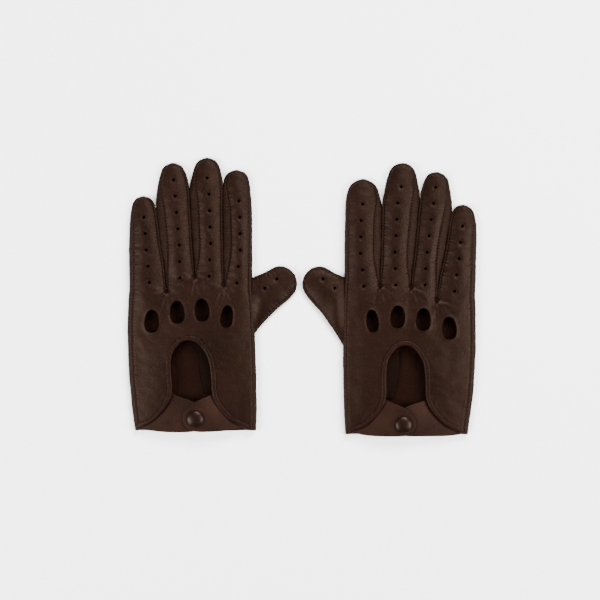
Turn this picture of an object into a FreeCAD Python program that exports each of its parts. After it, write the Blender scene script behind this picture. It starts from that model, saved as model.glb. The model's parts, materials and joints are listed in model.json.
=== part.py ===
import FreeCAD, Part
import math
import os
import Sketcher
from FreeCAD import Vector

# A pair of unlined leather driving gloves lying flat, backs up, fingertips towards +Y.
# The origin is on the resting surface, midway between the gloves, and +Z points up.
# The left glove is on the -X side with its thumb towards +X; the right glove faces it.

os.makedirs("parts", exist_ok=True)
doc = FreeCAD.newDocument("driving_gloves")
sheet = doc.addObject("Spreadsheet::Sheet", "dims")

FINGERS = ("index", "middle", "ring", "little")
ORIGIN_POINT = (-1, 1)
ARC_POINTS = {"left_turn": (1, 2), "right_turn": (2, 1)}

# Dimensions that both gloves share, in millimetres and degrees.
SHARED = {
    "leather": 1.0,
    "glove_height": 10.0,
    "thumb_height": 8.0,
    "plate_start": 0.6,
    "knuckle_gap": 7.5,
    "finger_clearance": 0.5,
    "vent_radius": 1.3,
    "vent_pitch": 14.0,
    "knuckle_width": 12.5,
    "knuckle_length": 19.5,
    "flare_radius": 24.0,
    "binding_width": 4.0,
    "binding_thickness": 0.8,
    "thread_inset": 3.0,
    "thread_width": 0.6,
    "thread_thickness": 0.3,
    "hem_width": 8.0,
    "tab_radius": 11.0,
    "tab_level": 11.4,
    "fold_angle": 20.0,
    "fold_gap": 1.6,
    "fold_above": 10.0,
    "fold_below": 12.0,
    "stud_tab_root": 12.0,
    "cap_radius": 7.5,
    "cap_rim": 0.8,
    "cap_rise": 1.8,
    "socket_radius": 5.0,
    "socket_bore": 2.3,
    "socket_gap": 0.5,
    "stud_radius": 1.8,
    "stud_flange_radius": 5.0,
    "stud_flange": 0.15,
    "stud_rise": 1.8,
    "post_radius": 1.2,
    "post_flange": 0.5,
    "thumb_gap": 5.6,
    "thumb_tip_radius": 12.5,
    "thumb_top_angle": 105.0,
    "thumb_low_angle": -32.0,
    "thumb_vent_spacing": 13.0,
    "thumb_vent_angle": 38.0,
    "gusset_depth": 44.0,
}

# Dimensions of each glove. side is +1 when the thumb points to +X and -1 when it points
# to -X; outer is the little-finger edge and inner the index edge of the hand.
GLOVES = {
    "left": {
        "side": 1, "outer": -148.1, "outer_wrist": -142.4, "inner": -43.2, "inner_wrist": -39.8,
        "wrist": -113.5, "keyhole_x": -94.0, "keyhole_radius": 17.0, "keyhole_y": -53.0,
        "flare_y": -89.5, "snap_x": -91.2, "snap_y": -103.3,
        "thumb_tip_x": -17.9, "thumb_tip_y": 12.7, "thumb_top": 18.7, "thumb_bottom": -31.7,
    },
    "right": {
        "side": -1, "outer": 147.8, "outer_wrist": 141.5, "inner": 36.4, "inner_wrist": 37.6,
        "wrist": -116.8, "keyhole_x": 88.9, "keyhole_radius": 16.6, "keyhole_y": -57.0,
        "flare_y": -92.8, "snap_x": 86.6, "snap_y": -108.2,
        "thumb_tip_x": 14.4, "thumb_tip_y": 12.7, "thumb_top": 19.0, "thumb_bottom": -42.0,
    },
}

# Each finger: root_x and root_y are the middle of its bending line, lean is its turn from
# +Y towards the little finger, vent_start is the first vent hole's distance from the root,
# and knuckle_x and knuckle_y are the centre of its knuckle opening.
FINGER_KEYS = ("root_x", "root_y", "lean", "length", "root_width", "tip_radius",
               "vent_start", "vents", "knuckle_x", "knuckle_y")
FINGER_VALUES = {
    "left": {
        "index": (-54.6, 15.0, 1.1, 93.4, 23.2, 11.5, 11.8, 5, -64.1, -16.0),
        "middle": (-79.3, 22.0, 1.3, 97.1, 24.4, 12.0, 10.5, 6, -85.3, -10.4),
        "ring": (-104.4, 22.0, 4.1, 92.6, 23.8, 11.3, 9.0, 6, -106.5, -12.3),
        "little": (-132.2, 9.0, 3.0, 77.3, 28.6, 10.4, 4.0, 5, -128.3, -20.0),
    },
    "right": {
        "index": (51.7, 14.0, 0.3, 86.7, 29.2, 13.4, 10.0, 5, 60.1, -19.8),
        "middle": (80.3, 14.0, 3.5, 100.9, 25.6, 12.6, 11.0, 6, 81.7, -14.9),
        "ring": (105.0, 13.0, 6.8, 94.4, 22.0, 11.2, 12.0, 6, 103.6, -18.5),
        "little": (132.2, 1.5, 4.7, 77.3, 29.6, 10.5, 4.0, 5, 125.8, -25.9),
    },
}


def fill_sheet():
    cells = dict(SHARED)
    for glove, sizes in GLOVES.items():
        cells.update({f"{glove}_{key}": size for key, size in sizes.items()})
        for finger in FINGERS:
            values = zip(FINGER_KEYS, FINGER_VALUES[glove][finger])
            cells.update({f"{glove}_{finger}_{key}": size for key, size in values})
    for row, (alias, size) in enumerate(cells.items(), start=1):
        sheet.set(f"A{row}", alias)
        sheet.set(f"B{row}", str(size))
        sheet.setAlias(f"B{row}", alias)
    doc.recompute()


def value(expression):
    return float(sheet.evalExpression(expression))


# Sketch helpers: every corner is held by two distances that are bound to the sheet.

def new_sketch(body, name, level="0", role="XY_Plane"):
    sketch = body.newObject("Sketcher::SketchObject", name)
    plane = next(f for f in body.Origin.OriginFeatures if f.Role == role)
    sketch.AttachmentSupport = [(plane, "")]
    sketch.MapMode = "FlatFace"
    sketch.setExpression("AttachmentOffset.Base.z", level)
    return sketch


def hold_point(sketch, geometry, position, corner, name):
    for kind, letter, expression in zip(("DistanceX", "DistanceY"), "xy", corner):
        size = value(expression)
        hold = Sketcher.Constraint(kind, *ORIGIN_POINT, geometry, position, size)
        index = sketch.addConstraint(hold)
        sketch.renameConstraint(index, f"{name}_{letter}")
        sketch.setExpression(f"Constraints.{name}_{letter}", expression)


def arc_between(start, end, radius, turn):
    # The shorter arc from start to end that turns left or right on its way.
    chord = end - start
    across = Vector(-chord.y, chord.x, 0).normalize()
    reach = math.sqrt(max(radius ** 2 - (chord.Length / 2) ** 2, 0))
    centre = start + chord * 0.5 + across * (reach if turn == "left_turn" else -reach)
    first, last = (start, end) if turn == "left_turn" else (end, start)
    from_angle = math.atan2(first.y - centre.y, first.x - centre.x)
    to_angle = math.atan2(last.y - centre.y, last.x - centre.x)
    if to_angle < from_angle:
        to_angle += 2 * math.pi
    circle = Part.Circle(centre, Vector(0, 0, 1), radius)
    return Part.ArcOfCircle(circle, from_angle, to_angle)


def draw_outline(sketch, corners, arcs=None):
    # corners are pairs of expressions in order round the outline; arcs gives, for the side
    # that starts at a corner's index, the radius expression and the way the side turns.
    arcs = arcs or {}
    points = [Vector(value(x), value(y), 0) for x, y in corners]
    ends = []
    for index, point in enumerate(points):
        following = points[(index + 1) % len(points)]
        if index in arcs:
            radius, turn = arcs[index]
            curve = arc_between(point, following, value(radius), turn)
            geometry = sketch.addGeometry(curve, False)
            ends.append((geometry, *ARC_POINTS[turn]))
        else:
            geometry = sketch.addGeometry(Part.LineSegment(point, following), False)
            ends.append((geometry, 1, 2))
    for index, (geometry, start, end) in enumerate(ends):
        next_geometry, next_start, _ = ends[(index + 1) % len(ends)]
        sketch.addConstraint(
            Sketcher.Constraint("Coincident", geometry, end, next_geometry, next_start))
        hold_point(sketch, geometry, start, corners[index], f"corner{index}")
    for index, (radius, _) in arcs.items():
        hold = sketch.addConstraint(
            Sketcher.Constraint("Radius", ends[index][0], value(radius)))
        sketch.renameConstraint(hold, f"arc{index}")
        sketch.setExpression(f"Constraints.arc{index}", radius)


def draw_circle(sketch, centre, radius, name="hole"):
    middle = Vector(value(centre[0]), value(centre[1]), 0)
    circle = sketch.addGeometry(Part.Circle(middle, Vector(0, 0, 1), value(radius)), False)
    hold_point(sketch, circle, 3, centre, f"{name}_centre")
    hold = sketch.addConstraint(Sketcher.Constraint("Radius", circle, value(radius)))
    sketch.renameConstraint(hold, f"{name}_radius")
    sketch.setExpression(f"Constraints.{name}_radius", radius)


def draw_ellipse(sketch, centre, width, length, name):
    middle = Vector(value(centre[0]), value(centre[1]), 0)
    tall = Vector(0, value(length) / 2, 0)
    wide = Vector(value(width) / 2, 0, 0)
    shape = Part.Ellipse(middle + tall, middle + wide, middle)
    ellipse = sketch.addGeometry(shape, False)
    sketch.exposeInternalGeometry(ellipse)
    major, minor = ellipse + 1, ellipse + 2
    hold_point(sketch, ellipse, 3, centre, f"{name}_centre")
    sketch.addConstraint(Sketcher.Constraint("Vertical", major))
    for line, label, size in ((major, "length", length), (minor, "width", width)):
        hold = sketch.addConstraint(Sketcher.Constraint("Distance", line, value(size)))
        sketch.renameConstraint(hold, f"{name}_{label}")
        sketch.setExpression(f"Constraints.{name}_{label}", size)


# Feature helpers.

def new_body(label):
    body = doc.addObject("PartDesign::Body", label)
    body.Label = label
    return body


def pad(body, name, corners, arcs, level, thickness):
    sketch = new_sketch(body, f"{name}_outline", level)
    draw_outline(sketch, corners, arcs)
    feature = body.newObject("PartDesign::Pad", name)
    feature.Profile = sketch
    feature.setExpression("Length", thickness)
    sketch.Visibility = False
    return feature


def pocket(body, name, sketch, depth):
    feature = body.newObject("PartDesign::Pocket", name)
    feature.Profile = sketch
    feature.setExpression("Length", depth)
    return feature


def revolve(label, profile, arcs, place):
    # A round piece: its profile stands on the XZ plane and turns about its own +Z axis.
    body = new_body(label)
    sketch = new_sketch(body, f"{label}_profile", role="XZ_Plane")
    draw_outline(sketch, profile, arcs)
    feature = body.newObject("PartDesign::Revolution", f"{label}_turned")
    feature.Profile = sketch
    feature.ReferenceAxis = (sketch, ["V_Axis"])
    feature.Angle = 360
    for axis, expression in zip("xyz", place):
        body.setExpression(f"Placement.Base.{axis}", expression)
    return body


# Levels through the thickness of a glove, as expressions on the sheet.
LEATHER = "dims.leather"
BACK_LEVEL = "dims.glove_height - dims.leather"
WALL_HEIGHT = "dims.glove_height - 2 * dims.leather"
TAB_TOP = "dims.tab_level + dims.leather"
STUD_TAB_LEVEL = "dims.glove_height - 2 * dims.leather"


# Fingers: each is drawn along +Y from its bending line, then leaned and placed.

def place_finger(body, glove, finger):
    key = f"dims.{glove}_{finger}"
    body.setExpression("Placement.Base.x", f"{key}_root_x")
    body.setExpression("Placement.Base.y", f"{key}_root_y")
    body.setExpression("Placement.Rotation.Angle", f"{key}_lean * dims.{glove}_side")


def finger_sizes(glove, finger):
    key = f"dims.{glove}_{finger}"
    half_root = f"{key}_root_width / 2 - dims.finger_clearance / 2"
    shoulder = f"{key}_length - {key}_tip_radius"
    return key, half_root, shoulder


def finger_plate(body, name, glove, finger, level):
    key, half_root, shoulder = finger_sizes(glove, finger)
    tip = f"{key}_tip_radius"
    corners = [
        (f"-({half_root})", "dims.plate_start"),
        (half_root, "dims.plate_start"),
        (tip, shoulder),
        ("0", f"{key}_length"),
        (f"-{tip}", shoulder),
    ]
    arcs = {2: (tip, "left_turn"), 3: (tip, "left_turn")}
    return pad(body, name, corners, arcs, level, LEATHER)


def finger_wall(body, name, glove, finger, hand_side):
    # One side of the finger, from its root round to the middle of the tip. hand_side is
    # +1 for the wall on +X and -1 for the wall on -X.
    key, half_root, shoulder = finger_sizes(glove, finger)
    tip = f"{key}_tip_radius"
    inner_tip = f"{tip} - dims.leather"
    corners = [
        (f"{hand_side} * ({half_root})", "dims.plate_start"),
        (f"{hand_side} * {tip}", shoulder),
        ("0", f"{key}_length"),
        ("0", f"{key}_length - dims.leather"),
        (f"{hand_side} * ({inner_tip})", shoulder),
        (f"{hand_side} * ({half_root} - dims.leather)", "dims.plate_start"),
    ]
    outward = "left_turn" if hand_side > 0 else "right_turn"
    inward = "right_turn" if hand_side > 0 else "left_turn"
    arcs = {1: (tip, outward), 3: (inner_tip, inward)}
    return pad(body, name, corners, arcs, LEATHER, WALL_HEIGHT)


def make_finger_back(glove, finger):
    label = f"{glove}_{finger}_back"
    key = f"dims.{glove}_{finger}"
    body = new_body(label)
    finger_plate(body, f"{label}_plate", glove, finger, BACK_LEVEL)
    sketch = new_sketch(body, f"{label}_vent", "dims.glove_height")
    draw_circle(sketch, ("0", f"{key}_vent_start"), "dims.vent_radius")
    hole = pocket(body, f"{label}_vent_hole", sketch, "2 * dims.leather")
    row = body.newObject("PartDesign::LinearPattern", f"{label}_vent_row")
    row.Originals = [hole]
    row.Direction = (sketch, ["V_Axis"])
    row.setExpression("Length", f"({key}_vents - 1) * dims.vent_pitch")
    row.setExpression("Occurrences", f"{key}_vents")
    body.Tip = row
    place_finger(body, glove, finger)


def make_finger_palm(glove, finger, side):
    # The palm leather wraps up round the two outermost edges of the hand.
    label = f"{glove}_{finger}_palm"
    body = new_body(label)
    finger_plate(body, f"{label}_plate", glove, finger, "0")
    if finger == "index":
        finger_wall(body, f"{label}_edge", glove, finger, side)
    if finger == "little":
        finger_wall(body, f"{label}_edge", glove, finger, -side)
    place_finger(body, glove, finger)


def make_fourchettes(glove, finger, side):
    # The narrow side strips between neighbouring fingers.
    strips = {"thumb_side": side, "little_side": -side}
    if finger == "index":
        del strips["thumb_side"]
    if finger == "little":
        del strips["little_side"]
    for name, hand_side in strips.items():
        label = f"{glove}_{finger}_fourchette_{name}"
        body = new_body(label)
        finger_wall(body, f"{label}_strip", glove, finger, hand_side)
        place_finger(body, glove, finger)


# Hand.

def keyhole_path(glove, inset="0"):
    # The wrist edge of the back, from the outer corner up round the keyhole to the inner
    # corner. inset moves it into the leather.
    key = f"dims.{glove}"
    side = f"{key}_side"
    radius = f"({key}_keyhole_radius + {inset})"
    reach = f"({key}_keyhole_radius + dims.flare_radius)"
    flare = f"dims.flare_radius - ({inset})"
    bottom = f"{key}_wrist + {inset}"
    points = [
        (f"{key}_keyhole_x - {side} * {reach}", bottom),
        (f"{key}_keyhole_x - {side} * {radius}", f"{key}_flare_y"),
        (f"{key}_keyhole_x - {side} * {radius}", f"{key}_keyhole_y"),
        (f"{key}_keyhole_x", f"{key}_keyhole_y + {radius}"),
        (f"{key}_keyhole_x + {side} * {radius}", f"{key}_keyhole_y"),
        (f"{key}_keyhole_x + {side} * {radius}", f"{key}_flare_y"),
        (f"{key}_keyhole_x + {side} * {reach}", bottom),
    ]
    return points, flare, radius


def turns(side):
    # The way a curve turns when the glove's outline runs from outer to inner edge.
    return ("left_turn", "right_turn") if side > 0 else ("right_turn", "left_turn")


def flare_height(glove):
    # The flare is a quarter circle only if the flare starts one radius above the wrist.
    gap = value(f"dims.{glove}_flare_y - dims.{glove}_wrist - dims.flare_radius")
    assert abs(gap) < 0.01, f"{glove} flare_y does not sit one flare radius above the wrist"


def knuckle_line(glove):
    # The hand's edge below the fingers, stepped at each gap, from inner to outer.
    corners = []
    for finger, neighbour in zip(FINGERS, FINGERS[1:] + (None,)):
        key = f"dims.{glove}_{finger}"
        level = f"{key}_root_y - dims.knuckle_gap"
        if finger == "index":
            corners.append((f"dims.{glove}_inner", level))
        if neighbour is None:
            corners.append((f"dims.{glove}_outer", level))
            continue
        other = f"dims.{glove}_{neighbour}"
        middle = f"({key}_root_x + {other}_root_x) / 2"
        lean = f"dims.{glove}_side * ({other}_root_width - {key}_root_width) / 4"
        corners.append((f"{middle} + {lean}", level))
        corners.append((f"{middle} + {lean}", f"{other}_root_y - dims.knuckle_gap"))
    return corners


def drop_level_steps(corners):
    # Neighbouring fingers with one root height leave a step of no height: one point only.
    kept = []
    for corner in corners:
        place = (value(corner[0]), value(corner[1]))
        if kept and math.dist(place, kept[-1][1]) < 0.01:
            continue
        kept.append((corner, place))
    return [corner for corner, _ in kept]


def make_back_panel(glove, side):
    label = f"{glove}_back_panel"
    body = new_body(label)
    path, flare, radius = keyhole_path(glove)
    left, right = turns(side)
    corners = [(f"dims.{glove}_outer_wrist", f"dims.{glove}_wrist")] + path
    corners.append((f"dims.{glove}_inner_wrist", f"dims.{glove}_wrist"))
    corners += drop_level_steps(knuckle_line(glove))
    arcs = {1: (flare, left), 3: (radius, right), 4: (radius, right), 6: (flare, left)}
    pad(body, f"{label}_plate", corners, arcs, BACK_LEVEL, LEATHER)
    sketch = new_sketch(body, f"{label}_knuckles", "dims.glove_height")
    for finger in FINGERS:
        key = f"dims.{glove}_{finger}_knuckle"
        centre = (f"{key}_x", f"{key}_y")
        draw_ellipse(sketch, centre, "dims.knuckle_width", "dims.knuckle_length", finger)
    pocket(body, f"{label}_knuckle_openings", sketch, "2 * dims.leather")


def make_band(glove, side, name, level, thickness, near, far):
    # A strip that follows the wrist edge of the back between two insets.
    label = f"{glove}_{name}"
    body = new_body(label)
    path, flare, radius = keyhole_path(glove, near)
    far_path, far_flare, far_radius = keyhole_path(glove, far)
    left, right = turns(side)
    corners = path + far_path[::-1]
    arcs = {0: (flare, left), 2: (radius, right), 3: (radius, right), 5: (flare, left),
            7: (far_flare, right), 9: (far_radius, left), 10: (far_radius, left),
            12: (far_flare, right)}
    pad(body, f"{label}_band", corners, arcs, level, thickness)


def make_palm_panel(glove, side):
    # A flat palm with both edges turned up to meet the back; the inner edge is open where
    # the thumb joins.
    label = f"{glove}_palm_panel"
    key = f"dims.{glove}"
    body = new_body(label)
    knuckles = drop_level_steps(knuckle_line(glove))
    corners = [
        (f"{key}_outer_wrist", f"{key}_wrist"),
        (f"{key}_inner_wrist", f"{key}_wrist"),
    ] + knuckles
    pad(body, f"{label}_plate", corners, {}, "0", LEATHER)
    thick = f"{key}_side * dims.leather"
    outer_top = f"{key}_little_root_y - dims.knuckle_gap"
    outer = [
        (f"{key}_outer_wrist", f"{key}_wrist"),
        (f"{key}_outer_wrist + {thick}", f"{key}_wrist"),
        (f"{key}_outer + {thick}", outer_top),
        (f"{key}_outer", outer_top),
    ]
    pad(body, f"{label}_outer_edge", outer, {}, LEATHER, WALL_HEIGHT)
    inner_top = f"{key}_index_root_y - dims.knuckle_gap"
    slope = f"({key}_inner - {key}_inner_wrist) / ({inner_top} - {key}_wrist)"
    meeting = f"{key}_inner_wrist + {slope} * ({key}_thumb_bottom - {key}_wrist)"
    inner = [
        (f"{key}_inner_wrist", f"{key}_wrist"),
        (f"{key}_inner_wrist - {thick}", f"{key}_wrist"),
        (f"{meeting} - {thick}", f"{key}_thumb_bottom"),
        (meeting, f"{key}_thumb_bottom"),
    ]
    pad(body, f"{label}_inner_edge", inner, {}, LEATHER, WALL_HEIGHT)


def make_palm_hem(glove):
    # The turned-in hem along the palm's wrist edge.
    label = f"{glove}_palm_hem"
    key = f"dims.{glove}"
    inset = f"2 * dims.leather * {key}_side"
    top = f"{key}_wrist + dims.hem_width"
    corners = [
        (f"{key}_outer_wrist + {inset}", f"{key}_wrist"),
        (f"{key}_inner_wrist - {inset}", f"{key}_wrist"),
        (f"{key}_inner_wrist - {inset}", top),
        (f"{key}_outer_wrist + {inset}", top),
    ]
    pad(new_body(label), f"{label}_strip", corners, {}, LEATHER, "dims.binding_thickness")


def make_thumb_gusset(glove, side):
    # The thumb piece's own root, which lies inside the palm and ends in a curved seam.
    label = f"{glove}_thumb_gusset"
    key = f"dims.{glove}"
    inset = f"2 * dims.leather * {key}_side"
    depth = f"{key}_side * dims.gusset_depth"
    low = f"{key}_thumb_bottom - dims.gusset_depth"
    corners = [
        (f"{key}_inner - {inset}", f"{key}_thumb_top - dims.gusset_depth / 2"),
        (f"{key}_inner - {inset} - {depth}", f"{key}_thumb_bottom"),
        (f"{key}_inner - {inset}", low),
    ]
    bend = "left_turn" if side > 0 else "right_turn"
    arcs = {0: ("1.4 * dims.gusset_depth", bend), 1: ("1.4 * dims.gusset_depth", bend)}
    pad(new_body(label), f"{label}_plate", corners, arcs, LEATHER, LEATHER)


# Snap strap. The fold runs beside the inner flare, one clearance away from it.

def fold_point(glove, along):
    key = f"dims.{glove}"
    reach = "(dims.flare_radius + dims.fold_gap)"
    middle_x = f"{key}_keyhole_radius + dims.flare_radius - {reach} * cos(dims.fold_angle)"
    x = f"{key}_keyhole_x + {key}_side * ({middle_x} + ({along}) * sin(dims.fold_angle))"
    y = f"{key}_flare_y - {reach} * sin(dims.fold_angle) - ({along}) * cos(dims.fold_angle)"
    return x, y


def snap_point(glove, angle):
    key = f"dims.{glove}"
    x = f"{key}_snap_x + {key}_side * dims.tab_radius * cos({angle})"
    return x, f"{key}_snap_y + dims.tab_radius * sin({angle})"


def make_snap_tab(glove, side):
    label = f"{glove}_snap_tab"
    body = new_body(label)
    corners = [fold_point(glove, "-dims.fold_above"), snap_point(glove, "125"),
               snap_point(glove, "260"), fold_point(glove, "dims.fold_below")]
    bend = "left_turn" if side > 0 else "right_turn"
    arcs = {1: ("dims.tab_radius", bend)}
    pad(body, f"{label}_leather", corners, arcs, "dims.tab_level", LEATHER)


def make_stud_tab(glove, side):
    # The lower tab is sewn under the outer side of the back and never moves.
    label = f"{glove}_stud_tab"
    key = f"dims.{glove}"
    body = new_body(label)
    root = f"{key}_keyhole_x - {key}_side * ({key}_keyhole_radius + dims.stud_tab_root)"
    corners = [
        (root, f"{key}_flare_y + dims.stud_tab_root / 2"),
        (root, f"{key}_wrist + dims.binding_width"),
        snap_point(glove, "-80"),
        snap_point(glove, "55"),
    ]
    bend = "left_turn" if side > 0 else "right_turn"
    arcs = {2: ("dims.tab_radius", bend)}
    pad(body, f"{label}_leather", corners, arcs, STUD_TAB_LEVEL, LEATHER)
    sketch = new_sketch(body, f"{label}_post_hole", BACK_LEVEL)
    centre = (f"{key}_snap_x", f"{key}_snap_y")
    draw_circle(sketch, centre, "dims.post_radius")
    pocket(body, f"{label}_hole", sketch, LEATHER)


def rectangle(inner, outer, low, high):
    return [(inner, low), (outer, low), (outer, high), (inner, high)]


def make_snap_metal(glove):
    key = f"dims.{glove}"
    here = (f"{key}_snap_x", f"{key}_snap_y")
    cap_profile = [
        ("0", "0"),
        ("dims.cap_radius", "0"),
        ("dims.cap_radius", "dims.cap_rim"),
        ("0", "dims.cap_rim + dims.cap_rise"),
    ]
    dome = "(dims.cap_radius ^ 2 + dims.cap_rise ^ 2) / (2 * dims.cap_rise)"
    revolve(f"{glove}_snap_cap", cap_profile, {2: (dome, "left_turn")}, (*here, TAB_TOP))
    gap = "dims.socket_gap"
    socket = rectangle("dims.socket_bore", "dims.socket_radius", gap,
                       "dims.tab_level - dims.glove_height + dims.leather")
    revolve(f"{glove}_snap_socket", socket, {}, (*here, BACK_LEVEL))
    stud_profile = [
        ("0", "0"),
        ("dims.stud_flange_radius", "0"),
        ("dims.stud_flange_radius", "dims.stud_flange"),
        ("dims.stud_radius", "dims.stud_flange"),
        ("dims.stud_radius", "dims.stud_rise"),
        ("0", "dims.stud_rise"),
    ]
    revolve(f"{glove}_snap_stud", stud_profile, {}, (*here, BACK_LEVEL))
    post_profile = [
        ("0", "-dims.leather - dims.post_flange"),
        ("dims.stud_flange_radius", "-dims.leather - dims.post_flange"),
        ("dims.stud_flange_radius", "-dims.leather"),
        ("dims.post_radius", "-dims.leather"),
        ("dims.post_radius", "0"),
        ("0", "0"),
    ]
    revolve(f"{glove}_snap_post", post_profile, {}, (*here, BACK_LEVEL))


# Thumb: it joins the inner edge along a bending line that runs parallel to Y.

def thumb_outline(glove, inset="0"):
    key = f"dims.{glove}"
    side = f"{key}_side"
    root = f"{key}_inner + {side} * (dims.thumb_gap + dims.plate_start)"
    tip = f"(dims.thumb_tip_radius - {inset})"
    tip_corners = [
        (f"{key}_thumb_tip_x + {side} * {tip} * cos({angle})",
         f"{key}_thumb_tip_y + {tip} * sin({angle})")
        for angle in ("dims.thumb_low_angle", "dims.thumb_top_angle")
    ]
    corners = [(root, f"{key}_thumb_bottom + 1.6 * {inset}")] + tip_corners
    corners.append((root, f"{key}_thumb_top - {inset}"))
    return corners, tip


def make_thumb(glove, side):
    bend = "left_turn" if side > 0 else "right_turn"
    corners, tip = thumb_outline(glove)
    label = f"{glove}_thumb_palm"
    palm = new_body(label)
    pad(palm, f"{label}_block", corners, {1: (tip, bend)}, "0",
        "dims.thumb_height - dims.leather")
    inner_corners, inner_tip = thumb_outline(glove, "dims.leather")
    sketch = new_sketch(palm, f"{label}_hollow_outline", "dims.thumb_height - dims.leather")
    draw_outline(sketch, inner_corners, {1: (inner_tip, bend)})
    pocket(palm, f"{label}_hollow", sketch, "dims.thumb_height - 2 * dims.leather")

    label = f"{glove}_thumb_back"
    back = new_body(label)
    pad(back, f"{label}_plate", corners, {1: (tip, bend)},
        "dims.thumb_height - dims.leather", LEATHER)
    sketch = new_sketch(back, f"{label}_vents", "dims.thumb_height")
    key = f"dims.{glove}"
    for count, name in enumerate(("outer", "inner")):
        step = f"{count} * dims.thumb_vent_spacing"
        centre = (f"{key}_thumb_tip_x - {key}_side * {step} * cos(dims.thumb_vent_angle)",
                  f"{key}_thumb_tip_y - {step} * sin(dims.thumb_vent_angle)")
        draw_circle(sketch, centre, "dims.vent_radius", name)
    pocket(back, f"{label}_vent_holes", sketch, "2 * dims.leather")


def make_glove(glove):
    side = GLOVES[glove]["side"]
    flare_height(glove)
    make_back_panel(glove, side)
    make_palm_panel(glove, side)
    make_palm_hem(glove)
    make_thumb_gusset(glove, side)
    make_band(glove, side, "keyhole_binding", "dims.glove_height", "dims.binding_thickness",
              "0", "dims.binding_width")
    make_band(glove, side, "hem_thread", "dims.glove_height + dims.binding_thickness",
              "dims.thread_thickness", "dims.thread_inset",
              "(dims.thread_inset + dims.thread_width)")
    make_stud_tab(glove, side)
    make_snap_tab(glove, side)
    make_snap_metal(glove)
    for finger in FINGERS:
        make_finger_back(glove, finger)
        make_finger_palm(glove, finger, side)
        make_fourchettes(glove, finger, side)
    make_thumb(glove, side)


def check_and_export():
    for item in doc.Objects:
        bad = {"Invalid", "Error"} & set(item.State)
        assert not bad, f"{item.Label} is {bad}"
        if item.TypeId == "PartDesign::Pocket":
            before = item.BaseFeature.Shape.Volume
            assert item.Shape.Volume < before - 1, f"{item.Label} cuts nothing"
    bodies = [item for item in doc.Objects if item.TypeId == "PartDesign::Body"]
    for body in bodies:
        shape = body.Shape
        assert not shape.isNull(), f"{body.Label} has no shape"
        assert shape.isValid(), f"{body.Label} is not valid"
        assert len(shape.Solids) == 1, f"{body.Label} is not one solid"
        shape.exportStep(f"parts/{body.Label}.step")
    print(len(bodies), "nodes written")


fill_sheet()
for glove_name in GLOVES:
    make_glove(glove_name)
doc.recompute()
check_and_export()
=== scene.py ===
import json
import math

import bmesh
import bpy
from mathutils import Matrix, Vector, noise
from mathutils.bvhtree import BVHTree
from mathutils.kdtree import KDTree
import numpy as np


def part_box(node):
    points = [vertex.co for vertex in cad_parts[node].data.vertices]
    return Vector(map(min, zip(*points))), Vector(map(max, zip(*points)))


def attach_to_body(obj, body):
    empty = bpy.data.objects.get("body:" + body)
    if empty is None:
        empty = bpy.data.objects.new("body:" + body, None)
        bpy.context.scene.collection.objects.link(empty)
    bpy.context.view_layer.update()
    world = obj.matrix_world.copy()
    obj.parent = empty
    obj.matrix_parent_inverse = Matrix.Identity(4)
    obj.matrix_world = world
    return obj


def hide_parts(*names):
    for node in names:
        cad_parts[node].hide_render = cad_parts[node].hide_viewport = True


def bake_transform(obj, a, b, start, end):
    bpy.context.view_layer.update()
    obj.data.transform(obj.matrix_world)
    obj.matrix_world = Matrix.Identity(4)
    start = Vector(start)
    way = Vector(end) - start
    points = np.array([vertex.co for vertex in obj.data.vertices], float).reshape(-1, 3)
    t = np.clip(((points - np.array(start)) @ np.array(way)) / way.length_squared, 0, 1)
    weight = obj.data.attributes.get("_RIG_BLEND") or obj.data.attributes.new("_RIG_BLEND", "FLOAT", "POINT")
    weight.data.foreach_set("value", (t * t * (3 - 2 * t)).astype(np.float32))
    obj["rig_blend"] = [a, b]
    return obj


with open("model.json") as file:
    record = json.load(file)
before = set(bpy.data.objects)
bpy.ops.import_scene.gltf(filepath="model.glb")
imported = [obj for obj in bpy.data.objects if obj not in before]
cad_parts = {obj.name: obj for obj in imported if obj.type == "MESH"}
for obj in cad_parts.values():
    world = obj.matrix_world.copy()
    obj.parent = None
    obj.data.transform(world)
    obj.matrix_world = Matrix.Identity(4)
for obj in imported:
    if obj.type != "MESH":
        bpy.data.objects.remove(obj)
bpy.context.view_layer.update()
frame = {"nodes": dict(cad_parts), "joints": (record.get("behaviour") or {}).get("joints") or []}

fingerNames = ("index", "middle", "ring", "little")
joints = {joint["name"]: joint for joint in frame["joints"]}


# small helpers

def mix(a, b, t):
    return a + (b - a) * t


def smooth(t):
    t = min(max(t, 0.0), 1.0)
    return t * t * (3 - 2 * t)


def nodePoints(node):
    return [v.co.copy() for v in frame["nodes"][node].data.vertices]


def addObject(name, mesh):
    obj = bpy.data.objects.new(name, mesh)
    bpy.context.scene.collection.objects.link(obj)
    return obj


def meshObject(name, bm):
    mesh = bpy.data.meshes.new(name)
    bm.to_mesh(mesh)
    bm.free()
    return addObject(name, mesh)


def applyModifiers(obj):
    bpy.context.view_layer.update()
    graph = bpy.context.evaluated_depsgraph_get()
    mesh = bpy.data.meshes.new_from_object(obj.evaluated_get(graph),
                                           preserve_all_data_layers=True, depsgraph=graph)
    obj.modifiers.clear()
    old = obj.data
    obj.data = mesh
    bpy.data.meshes.remove(old)
    return obj


def subdivide(obj, levels):
    modifier = obj.modifiers.new("round", "SUBSURF")
    modifier.levels = levels
    modifier.render_levels = levels
    modifier.boundary_smooth = "PRESERVE_CORNERS"
    return applyModifiers(obj)


def shadeSmooth(obj):
    for polygon in obj.data.polygons:
        polygon.use_smooth = True


# what the frame says about each glove

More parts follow.
